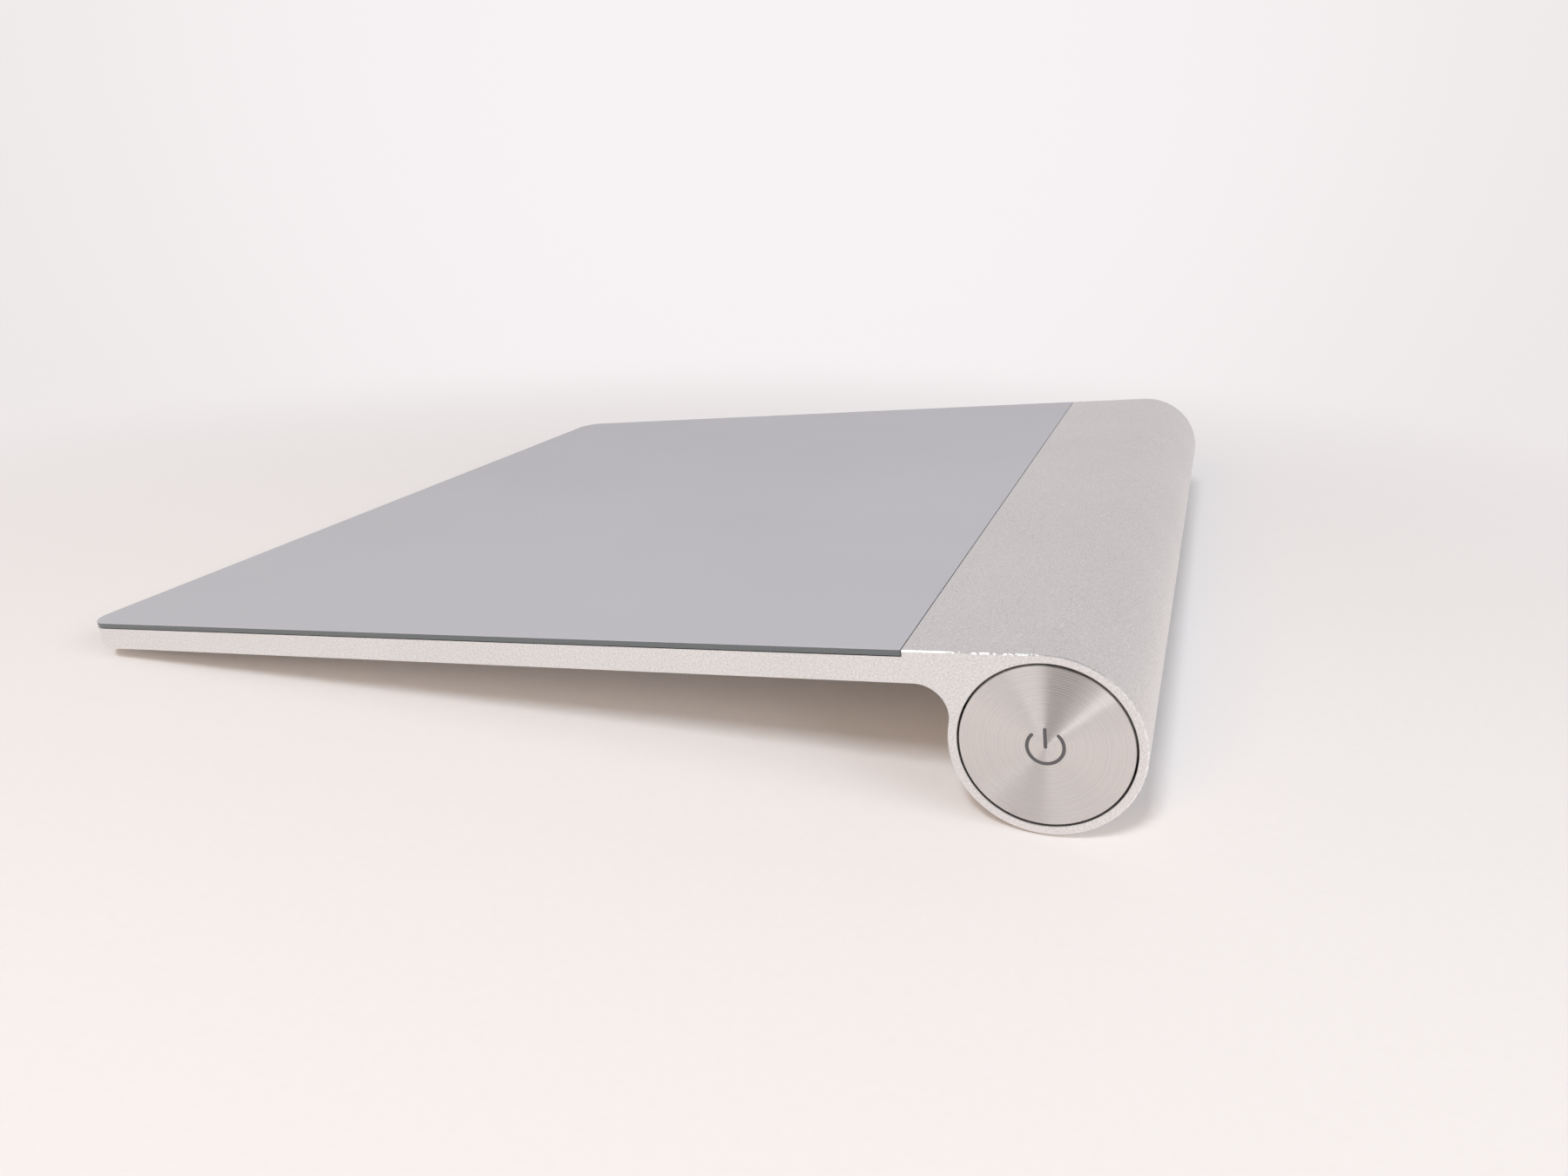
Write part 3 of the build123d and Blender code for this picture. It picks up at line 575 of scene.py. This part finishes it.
def sheet_metal(name, colour, roughness=0.3, streak=(1, 12, 12)):
    """Plated or drawn metal with fine streaks along the tube."""
    finish = Finish(name, metallic=1.0)
    streaks = finish.noise(0.0004, 3.0, finish.vector("MULTIPLY", finish.place, streak))
    spots = finish.noise(0.0015, 2.0)
    tone = finish.maths("ADD", finish.spread(streaks, 0.0, 0.6), finish.spread(spots, 0.0, 0.4))
    finish.set(
        base_color=finish.blend(tone, scaled(colour, 0.88), scaled(colour, 1.06)),
        roughness=finish.spread(streaks, roughness * 0.8, roughness * 1.25),
        normal=finish.relief(streaks, 0.000004),
    )
    return finish.material


def drawn_steel(name):
    return sheet_metal(name, (0.6, 0.6, 0.6), roughness=0.28, streak=(4, 4, 4))


def circuit_board(name, colour):
    """Solder mask over copper runs, with plated holes."""
    finish = Finish(name, roughness=0.35)
    runs = finish.node("ShaderNodeTexBrick", offset=0.5, squash=1.0)
    finish.feed(runs.inputs["Vector"], finish.place)
    runs.inputs["Scale"].default_value = 420.0
    runs.inputs["Mortar Size"].default_value = 0.06
    runs.inputs["Brick Width"].default_value = 1.7
    runs.inputs["Row Height"].default_value = 0.35
    holes = finish.node("ShaderNodeTexVoronoi", feature="F1")
    finish.feed(holes.inputs["Vector"], finish.place)
    holes.inputs["Scale"].default_value = 260.0
    plated = finish.maths("LESS_THAN", holes.outputs["Distance"], 0.12)
    mask = finish.blend(runs.outputs["Fac"], scaled(colour, 1.35), scaled(colour, 0.8))
    raised = finish.maths("SUBTRACT", finish.product(runs.outputs["Fac"], -1.0), plated)
    finish.set(
        base_color=finish.blend(plated, mask, (0.62, 0.46, 0.2)),
        roughness=finish.spread(finish.noise(0.0003, 2.0), 0.3, 0.42),
        metallic=plated,
        normal=finish.relief(raised, 0.00002),
    )
    return finish.material


def chip_capacitors(node, pitch=0.0022, bare_half=0.00028):
    """Fired ceramic with tinned ends, on parts spaced evenly across the board."""
    low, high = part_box(node)
    finish = Finish(node.replace("_", " "))
    offset = finish.maths("SUBTRACT", finish.axis_part("X"), (low.x + high.x) / 2)
    offset = finish.maths("WRAP", offset, pitch / 2, -pitch / 2)
    tinned = finish.maths("GREATER_THAN", finish.maths("ABSOLUTE", offset), bare_half)
    grain = finish.noise(0.0001, 2.0)
    body = finish.blend(grain, (0.42, 0.29, 0.16), (0.56, 0.41, 0.25))
    finish.set(
        base_color=finish.blend(tinned, body, (0.72, 0.72, 0.7)),
        metallic=tinned,
        roughness=finish.spread(grain, 0.32, 0.5),
        normal=finish.relief(grain, 0.000006),
    )
    return finish.material


def flat_cable(name, pitch=0.0005):
    """Amber film over copper conductors that run along the cable."""
    finish = Finish(name)
    lines = finish.maths("SINE", finish.product(finish.axis_part("X"), tau / pitch))
    copper = finish.maths("GREATER_THAN", lines, 0.15)
    grain = finish.noise(0.0002, 2.0)
    finish.set(
        base_color=finish.blend(copper, (0.36, 0.16, 0.03), (0.66, 0.33, 0.1)),
        roughness=finish.spread(grain, 0.18, 0.3),
        normal=finish.relief(lines, 0.00001),
    )
    return finish.material


def cell_jacket(node):
    """A plain printed film on a cell: a pale sleeve, a darker band, and bare metal at its ends."""
    band_length, nub_length, base_depth, base_radius = 0.0125, 0.0014, 0.0002, 0.0061
    low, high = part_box(node)
    finish = Finish(node.replace("_", " "))
    along = finish.maths("SUBTRACT", high.x, finish.axis_part("X"))
    band = finish.maths("LESS_THAN", along, band_length)
    nub_end = finish.maths("LESS_THAN", along, nub_length)
    base_end = finish.maths("GREATER_THAN", along, high.x - low.x - base_depth)
    inner = finish.maths("LESS_THAN", finish.from_axis(), base_radius)
    bare = finish.maths("MAXIMUM", nub_end, finish.product(base_end, inner))
    scuffs = finish.noise(0.0015, 4.0)
    film = finish.blend(band, (0.5, 0.5, 0.52), (0.07, 0.075, 0.085))
    worn = finish.blend(finish.spread(scuffs, 0.0, 0.3), film, (0.6, 0.6, 0.6))
    finish.set(
        base_color=finish.blend(bare, worn, (0.75, 0.74, 0.72)),
        metallic=finish.maths("MAXIMUM", bare, 0.55),
        roughness=finish.spread(scuffs, 0.25, 0.4),
        normal=finish.relief(scuffs, 0.000006),
    )
    return finish.material


def dress(finish, *nodes):
    """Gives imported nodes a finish."""
    for node in nodes:
        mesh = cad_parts[node].data
        mesh.materials.clear()
        mesh.materials.append(finish)


# Pieces


class PieceOperator:
    """What the operators share: the trackpad's settings."""

    bl_options = {"REGISTER", "UNDO"}

    def settings(self, context):
        return context.scene.trackpad_sizes, context.scene.trackpad_colours


def housing_section(sizes, plate):
    """The housing's side outline as (along, above, inset along, inset above) for each point."""
    thick, web = sizes.plate_thickness, sizes.web_radius
    drop = tube_radius - thick - web
    reach = sqrt((tube_radius + web) ** 2 - drop**2)
    join = atan2(drop, -reach)
    points = [
        (-plate.length, -thick, 1, 1),
        (-plate.length, -sizes.ledge_level, 1, 0),
        (-sizes.strip_depth, -sizes.ledge_level, 0, 0),
        (-sizes.strip_depth, 0, 0, -1),
        (-sizes.strip_depth / 2, 0, 0, -1),
    ]
    for along, above in arc((0, -tube_radius), tube_radius, pi / 2, join - tau, steps=288):
        spoke = Vector((along, above + tube_radius)) / tube_radius
        points.append((along, above, -spoke.x, -spoke.y))
    for along, above in arc((-reach, -thick - web), web, join - pi, pi / 2, steps=48)[1:]:
        spoke = Vector((along + reach, above + thick + web)) / web
        points.append((along, above, spoke.x, spoke.y))
    return points


def dented(plate, point):
    """Moves a point of the right end's edge inwards where the tube has been knocked."""
    slant = 0.7
    for degrees, width, depth in knocks:
        angle = radians(degrees)
        middle = plate.around(half_width, tube_radius * cos(angle), tube_radius * sin(angle))
        inwards = plate.centre - plate.around(slant, slant * cos(angle), slant * sin(angle))
        near = 1 - ((point - middle).length / width) ** 2
        if near > 0:
            point = point + inwards * (depth * near**2)
    return point


class TRACKPAD_OT_housing(PieceOperator, bpy.types.Operator):
    """Makes the housing's blasted shell with its bores, pocket and seats"""

    bl_idname = "trackpad.housing"
    bl_label = "Housing"

    def execute(self, context):
        sizes, colours = self.settings(context)
        plate = Plate(sizes)
        section = housing_section(sizes, plate)
        edge = quarter_round(sizes.edge_round, steps=6)
        right = [(half_width - back, inset) for back, inset in edge]
        left = [(-place, inset) for place, inset in reversed(right)]
        left_rings = [self.ring(plate, section, place, inset) for place, inset in left]
        right_rings = [self.ring(plate, section, place, inset) for place, inset in right]
        right_rings = [[dented(plate, point) for point in ring] for ring in right_rings]
        work = bmesh.new()
        skin(work, left_rings, finish=1, closed_ends=False)
        skin(work, (left_rings[-1], right_rings[0]), closed_ends=False)
        skin(work, right_rings, finish=1, closed_ends=False)
        bmesh.ops.remove_doubles(work, verts=work.verts, dist=1e-9)
        open_edges = [edge for edge in work.edges if edge.is_boundary]
        for face in bmesh.ops.holes_fill(work, edges=open_edges)["faces"]:
            face.material_index = 0
        shell = finished_object(
            "housing_shell",
            work,
            blasted_metal("blasted aluminium", colours.metal),
            bare_edge("bare aluminium edge", colours.metal),
        )
        self.cut_plate(shell, sizes, plate)
        self.cut_bores(shell, sizes, plate)
        crisp(shell)
        part_finishes(shell)
        seat(shell, "housing", "housing")
        return {"FINISHED"}

    def ring(self, plate, section, place, inset):
        """The side outline at a place across the width, drawn in by the inset."""
        return [
            plate.point(place, along + inset * inset_along, above + inset * inset_above)
            for along, above, inset_along, inset_above in section
        ]

    def cut_plate(self, shell, sizes, plate):
        """The pocket, the cover's recess, the cable's slot and the round front corners."""
        margin, far_below = 0.001, -0.01
        front, rear = -plate.length + sizes.rim_width, -sizes.strip_depth - sizes.rim_width
        width, ledge = 2 * (half_width - sizes.rim_width), sizes.ledge_width
        corner = sizes.pocket_corner
        pocket = rounded_rectangle(width, front, rear, corner)
        recess = rounded_rectangle(width + 2 * ledge, front - ledge, rear + ledge, corner + ledge)
        self.cut(shell, plate, pocket, margin, far_below)
        self.cut(shell, plate, recess, -sizes.cover_level, far_below)
        self.cut_cable_slot(shell, plate, rear - margin)
        radius = sizes.corner_radius
        for side in (-1, 1):
            x, low = side * (half_width - radius), -plate.length + radius
            curve = arc((x, low), radius, -pi / 2, 0 if side > 0 else -pi, steps=32)
            far = side * (half_width + margin)
            outline = curve + [(far, low), (far, -plate.length - margin), (x, -plate.length - margin)]
            self.cut(shell, plate, outline, margin, far_below / 2)

    def cut_cable_slot(self, shell, plate, front):
        """The slot for the flat cable, from the pocket into the tube."""
        cable_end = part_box("power_flex_cable")[1].x
        left, right = cable_end - 0.0041, cable_end - 0.0019
        top, floor = -0.00245, -0.00267
        self.cut(shell, plate, [(left, front), (right, front), (right, 0), (left, 0)], top, floor)

    def cut(self, shell, plate, outline, high, low):
        work = bmesh.new()
        skin(work, [[plate.point(x, y, level) for x, y in outline] for level in (low, high)])
        carve(shell, finished_object("cutter", work))

    def cut_bores(self, shell, sizes, plate):
        """One stepped bore right through the tube, with its mouths' edges broken."""
        margin = 0.001
        mouth = tube_radius - sizes.end_rim
        cell, thread, bulkhead = sizes.cell_bore, sizes.thread_bore, sizes.bulkhead_bore
        flange_seat = -half_width + sizes.cap_flange
        skirt_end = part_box("battery_cap")[1].x
        bulkhead_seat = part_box("contact_bulkhead")[0].x
        guide_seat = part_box("button_guide")[0].x
        outside = half_width + margin
        steps = [
            (-outside, mouth + sizes.mouth_break + margin),
            (-half_width + sizes.mouth_break, mouth),
            (flange_seat, mouth),
            (flange_seat, thread),
            (skirt_end, thread),
            (skirt_end, cell),
            (bulkhead_seat, cell),
            (bulkhead_seat, bulkhead),
            (guide_seat, bulkhead),
            (guide_seat, mouth),
            (half_width - sizes.mouth_break, mouth),
            (outside, mouth + sizes.mouth_break + margin),
        ]
        work = bmesh.new()
        lathe(work, plate, steps)
        carve(shell, finished_object("cutter", work))


class TRACKPAD_OT_touch_glass(PieceOperator, bpy.types.Operator):
    """Makes the satin touch glass with its rounded top edge, and finishes the black tapes"""

    bl_idname = "trackpad.touch_glass"
    bl_label = "Touch glass"

    def execute(self, context):
        sizes, colours = self.settings(context)
        plate = Plate(sizes)
        rear = -sizes.strip_depth - sizes.glass_seam
        levels = [(sizes.glass_thickness, 0.0)] + quarter_round(sizes.glass_round, steps=4)
        rings = []
        for below, inset in levels:
            outline = front_rounded(sizes, plate, inset, rear - inset)
            rings.append([plate.point(x, y, -below) for x, y in outline])
        work = bmesh.new()
        rows = skin(work, rings, finish=1)
        top = set(rows[-1] + rows[-2] + rows[-3])
        for face in work.faces:
            if top.issuperset(face.verts):
                face.material_index = 0
        glass = finished_object(
            "touch_surface",
            work,
            satin_glass("satin glass", colours.glass),
            satin_glass("ground glass edge", colours.glass_edge, edge=True),
        )
        crisp(glass, radians(40))
        seat(glass, "housing", "touch_glass")
        tape = moulded("black tape", (0.03, 0.03, 0.034), roughness=0.45)
        dress(tape, "glass_adhesive", "cover_adhesive")
        return {"FINISHED"}


def mark_outlines(sizes):
    """The power mark's open ring and its bar, in the button's face, as (along, up) outlines."""
    radius, half = sizes.mark_radius, sizes.mark_stroke / 2
    first, last = (pi + sizes.mark_gap) / 2, (pi - sizes.mark_gap) / 2 + tau
    first_tip, last_tip = ((radius * cos(a), radius * sin(a)) for a in (first, last))
    ring_steps, tip_steps = 96, 12
    ring = (
        arc((0, 0), radius + half, first, last, ring_steps)
        + arc(last_tip, half, last, last + pi, tip_steps)[1:-1]
        + arc((0, 0), radius - half, last, first, ring_steps)
        + arc(first_tip, half, first + pi, first + tau, tip_steps)[1:-1]
    )
    top = arc((0, sizes.mark_bar), half, 0, pi, tip_steps)
    bar = top + arc((0, 0), half, pi, tau, tip_steps)
    return ring, bar


class TRACKPAD_OT_power_button(PieceOperator, bpy.types.Operator):
    """Makes the turned power button with its filled mark"""

    bl_idname = "trackpad.power_button"
    bl_label = "Power button"

    def execute(self, context):
        sizes, colours = self.settings(context)
        plate = Plate(sizes)
        radius = tube_radius - sizes.end_rim - sizes.button_gap
        stem, groove = sizes.stem_radius, sizes.stem_radius - sizes.stem_groove
        clip_low, clip_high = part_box("button_clip")
        back = half_width - sizes.button_thickness
        profile = [
            (button_low.x, stem),
            (clip_low.x, stem),
            (clip_low.x, groove),
            (clip_high.x, groove),
            (clip_high.x, stem),
            (back, stem),
            (back, radius),
        ]
        for down, inset in quarter_round(sizes.button_round, steps=6):
            profile.append((half_width - down, radius - inset))
        work = bmesh.new()
        lathe(work, plate, profile)
        finish = turned_metal("turned aluminium", colours.turned, sizes.ring_pitch)
        button = finished_object("power_button_disc", work, finish)
        depth = sizes.mark_depth
        outlines = mark_outlines(sizes)
        for outline in outlines:
            carve(button, self.mark(plate, outline, half_width - depth, half_width + depth))
        crisp(button)
        seat(button, "power_button", "power_button")
        fill = moulded("mark fill", colours.mark, grain=0.00012, depth=0.000003)
        face = half_width - depth / 6
        for name, outline in zip(("power_mark_ring", "power_mark_bar"), outlines):
            inlay = self.mark(plate, outline, half_width - depth, face, name, fill)
            crisp(inlay, radians(40))
            seat(inlay, "power_button", "power_icon")
        self.add_return_spring(sizes)
        return {"FINISHED"}

    def add_return_spring(self, sizes):
        """The spring behind the button, which in the real trackpad shortens as the button is pressed.
        """
        low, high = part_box("button_return_spring")
        work = bmesh.new()
        coil(work, low, high, sizes.spring_wire, turns=3)
        spring = finished_object("return_spring_coil", work, drawn_steel("spring wire"))
        crisp(spring, radians(40))
        seat(spring, "housing", "button_return_spring")
        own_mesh(spring)

    def mark(self, plate, outline, low, high, name="cutter", *finishes):
        """A prism of the mark, between two places along the tube."""
        work = bmesh.new()
        skin(work, [[plate.around(place, x, y) for x, y in outline] for place in (low, high)])
        return finished_object(name, work, *finishes)


class TRACKPAD_OT_finishes(PieceOperator, bpy.types.Operator):
    """Gives the cap, cover, feet and everything inside their finishes"""

    bl_idname = "trackpad.finishes"
    bl_label = "Cap, feet and inner parts"

    def execute(self, context):
        sizes, colours = self.settings(context)
        dress(turned_metal("turned cap", colours.turned, sizes.ring_pitch), "battery_cap")
        self.dress_mouldings(colours)
        self.dress_boards(colours)
        self.dress_metal()
        for node in ("battery_inner", "battery_outer"):
            dress(cell_jacket(node), node)
        return {"FINISHED"}

    def dress_mouldings(self, colours):
        """The cover, the feet and the plastic inside."""
        cover = moulded("cover plastic", colours.plastic, 0.0003, roughness=0.42, depth=0.000012)
        dress(cover, "bottom_cover")
        rubber = moulded("foot rubber", colours.rubber, 0.0004, 0.75, depth=0.00002, contrast=0.12)
        dress(rubber, "left_foot_pad", "right_foot_pad", "rear_foot_strips")
        pale = moulded("pale moulding", (0.6, 0.6, 0.58), grain=0.0004, roughness=0.4)
        dress(pale, "left_foot_plunger", "right_foot_plunger")
        black = moulded("black moulding", (0.022, 0.022, 0.024), grain=0.0003, roughness=0.45)
        dress(black, "button_guide", "contact_bulkhead")
        dress(black, "left_click_switch_pin", "right_click_switch_pin", "power_switch_pin")
        resin = moulded("chip resin", (0.03, 0.03, 0.032), grain=0.00015, roughness=0.6)
        dress(resin, "touch_controller", "radio_chip", "voltage_regulator")
        cream = moulded("connector moulding", (0.6, 0.56, 0.44), grain=0.0003, roughness=0.4)
        dress(cream, "flex_connector")

    def dress_boards(self, colours):
        """The boards, their capacitors and their flat cables."""
        boards = circuit_board("solder mask", colours.board)
        dress(boards, "touch_sensor_board", "logic_board", "power_switch_board")
        for node in ("sensor_capacitors", "board_capacitors"):
            dress(chip_capacitors(node), node)
        dress(flat_cable("amber film"), "sensor_flex_cable", "power_flex_cable")

    def dress_metal(self):
        """The shield, switches, antenna, contacts, clip and screws."""
        tinned = sheet_metal("tinned sheet", (0.72, 0.72, 0.7))
        dress(tinned, "radio_shield", "left_click_switch", "right_click_switch", "power_switch")
        dress(sheet_metal("brass sheet", (0.78, 0.57, 0.26)), "antenna")
        nickel = sheet_metal("nickel plate", (0.72, 0.69, 0.63), roughness=0.22)
        dress(nickel, "positive_contact", "cap_contact_plate", "cap_contact_spring")
        dress(drawn_steel("spring steel"), "button_clip", "power_switch_screws")


# Studio


class TRACKPAD_OT_studio(bpy.types.Operator):
    """Sets the table, the pale surroundings, the lamps and the camera"""

    bl_idname = "trackpad.studio"
    bl_label = "Studio"

    def execute(self, context):
        studio = context.scene.trackpad_studio
        context.scene.view_settings.view_transform = "Standard"
        self.add_table(studio)
        self.add_surroundings(context.scene, studio)
        warm, neutral, cool = (1.0, 0.62, 0.24), (0.95, 0.975, 0.99), (0.91, 0.975, 1.0)
        # Each lamp's name, place, size, power and tint, and whether only shiny things show it
        lamps = (
            ("key lamp", (0.69, -0.02, 0.71), (0.2, 0.15), studio.key, neutral, False),
            ("warm lamp", (1.02, -0.16, 0.36), (0.6, 0.35), studio.warm, warm, False),
            ("back lamp", (0.42, 0.88, 0.5), (0.8, 0.4), studio.back, cool, False),
            ("front strip", (0.8, -0.36, 0.58), (0.14, 0.5), studio.front_strip, cool, True),
            ("rear strip", (0.92, 0.54, 0.21), (0.3, 0.06), studio.rear_strip, cool, True),
        )
        for lamp in lamps:
            self.add_lamp(*lamp)
        self.add_camera(context.scene)
        return {"FINISHED"}

    def add_table(self, studio):
        """A round table top that fades into the surroundings and can be seen through from below."""
        reach, fade_middle, fade_from, fade_to = 1.2, (0.05, 0.01, 0), 0.08, 0.29
        work = bmesh.new()
        bmesh.ops.create_circle(work, cap_ends=True, radius=reach, segments=96)
        finish = bpy.data.materials.new("pale table")
        nodes = Nodes(finish, "Object")
        nodes.tree.nodes.remove(nodes.tree.nodes["Principled BSDF"])
        away = nodes.vector("SUBTRACT", nodes.place, fade_middle)
        distance = nodes.vector("LENGTH", away, output="Value")
        fade = nodes.spread(distance, 0.0, 1.0, fade_from, fade_to, "SMOOTHSTEP")
        below = nodes.node("ShaderNodeNewGeometry").outputs["Backfacing"]
        rays = nodes.node("ShaderNodeLightPath").outputs["Is Camera Ray"]
        unseen = nodes.spread(rays, studio.underlight, 0.0, 0.0, 1.0)
        clear = nodes.maths("MAXIMUM", nodes.maths("MAXIMUM", fade, below), unseen)
        tone = nodes.blend(nodes.noise(0.001), scaled(studio.table, 0.985), scaled(studio.table, 1.015))
        matt = nodes.node_output("ShaderNodeBsdfDiffuse", tone, "BSDF")
        seen = nodes.mixed(clear, matt, nodes.node("ShaderNodeBsdfTransparent").outputs[0])
        nodes.feed(nodes.tree.nodes["Material Output"].inputs["Surface"], seen)
        table = finished_object("table", work, finish)

    def add_surroundings(self, scene, studio):
        """Pale walls for the camera, with a painted pool of light in their middle, and a softer fill
        from all round for the object.
        """
        gap_middle, glow_side = 0.1, (-0.93, -0.35, 0.08)
        scene.world = bpy.data.worlds.new("pale room")
        nodes = Nodes(scene.world, "Generated")
        height = nodes.axis_part("Z")
        zenith = nodes.spread(height, 0.0, 1.0, 0.0, 0.55, "SMOOTHSTEP")
        beside = nodes.maths("ABSOLUTE", nodes.maths("SUBTRACT", nodes.axis_part("Y"), gap_middle))
        gap = nodes.spread(beside, 1.0, 0.0, 0.2, 0.34, "SMOOTHSTEP")
        ahead = nodes.spread(nodes.axis_part("X"), 0.0, 1.0, 0.1, 0.4, "SMOOTHSTEP")
        above = nodes.spread(height, 0.0, 1.0, 0.0, 0.15, "SMOOTHSTEP")
        rays = nodes.node("ShaderNodeLightPath").outputs
        dim = nodes.product(gap, ahead, above, rays["Is Glossy Ray"])
        shade = nodes.spread(dim, studio.fill, studio.fill * studio.shade, 0.0, 1.0)
        matt = nodes.spread(rays["Is Diffuse Ray"], 1.0, studio.matt_fill, 0.0, 1.0)
        sky = nodes.blend(zenith, studio.horizon, studio.overhead)
        fill = nodes.node_output("ShaderNodeBackground", sky, "Background")
        nodes.feed(fill.node.inputs["Strength"], nodes.product(shade, matt))
        # Painted pool of light: the wall that the camera sees turns lighter towards the middle of the
        # view
        towards = nodes.vector("DOT_PRODUCT", nodes.place, glow_side, output="Value")
        middle = nodes.spread(towards, 0.0, 1.0, 0.8, 0.99, "SMOOTHSTEP")
        wall = nodes.blend(middle, studio.wall, studio.glow)
        seen = nodes.node_output("ShaderNodeBackground", wall, "Background")
        surface = nodes.tree.nodes["World Output"].inputs["Surface"]
        nodes.feed(surface, nodes.mixed(rays["Is Camera Ray"], fill, seen))

    def add_lamp(self, name, place, size, watts, tint, shiny):
        """A soft lamp that faces the trackpad, for either its shiny or its matt surfaces."""
        light = bpy.data.lights.new(name, "AREA")
        light.shape = "RECTANGLE"
        light.size, light.size_y = size
        light.energy = watts
        light.color = tint
        lamp = bpy.data.objects.new(name, light)
        bpy.context.scene.collection.objects.link(lamp)
        lamp.visible_camera = False
        lamp.visible_glossy = shiny
        lamp.visible_diffuse = not shiny
        aim = Vector(place).normalized()
        across = (Vector((1, 0, 0)) - aim * aim.x).normalized()
        turn = Matrix((across, aim.cross(across), aim)).transposed()
        lamp.matrix_world = Matrix.Translation(Vector(place)) @ turn.to_4x4()

    def add_camera(self, scene):
        """The photograph's view: close, low and from the right, looking along the side."""
        place = (0.161506, axis_y + 0.010123, axis_z + 0.050151)
        right = Vector((-0.3482, 0.9374, -0.0006))
        forward = Vector((-0.88, -0.3271, -0.3444)).normalized()
        right = (right - forward * right.dot(forward)).normalized()
        lens = bpy.data.cameras.new("camera")
        lens.sensor_width, lens.lens = 36.0, 26.2228
        lens.clip_start, lens.clip_end = 0.002, 50.0
        camera = bpy.data.objects.new("camera", lens)
        scene.collection.objects.link(camera)
        turn = Matrix((right, right.cross(forward), -forward)).transposed()
        camera.matrix_world = Matrix.Translation(place) @ turn.to_4x4()
        scene.camera = camera


class TRACKPAD_PT_panel(bpy.types.Panel):
    """Lists the trackpad's sizes, colours and makers"""

    bl_idname = "TRACKPAD_PT_panel"
    bl_label = "Trackpad"
    bl_space_type = "VIEW_3D"
    bl_region_type = "UI"
    bl_category = "Trackpad"

    def draw(self, context):
        for group_name, group in settings_groups.items():
            box = self.layout.box()
            for name in group.__annotations__:
                box.prop(getattr(context.scene, group_name), name)
        for maker in makers:
            self.layout.operator(maker.bl_idname)


makers = (
    TRACKPAD_OT_housing,
    TRACKPAD_OT_touch_glass,
    TRACKPAD_OT_power_button,
    TRACKPAD_OT_finishes,
    TRACKPAD_OT_studio,
)
settings_groups = {
    "trackpad_sizes": TrackpadSizes,
    "trackpad_colours": TrackpadColours,
    "trackpad_studio": TrackpadStudio,
}
classes = (*settings_groups.values(), *makers, TRACKPAD_PT_panel)


def register():
    for item in classes:
        bpy.utils.register_class(item)
    for name, group in settings_groups.items():
        setattr(bpy.types.Scene, name, PointerProperty(type=group))


def unregister():
    for name in settings_groups:
        delattr(bpy.types.Scene, name)
    for item in reversed(classes):
        bpy.utils.unregister_class(item)


def main():
    register()
    bpy.ops.trackpad.housing()
    bpy.ops.trackpad.touch_glass()
    bpy.ops.trackpad.power_button()
    bpy.ops.trackpad.finishes()
    bpy.ops.trackpad.studio()


if __name__ == "__main__":
    main()
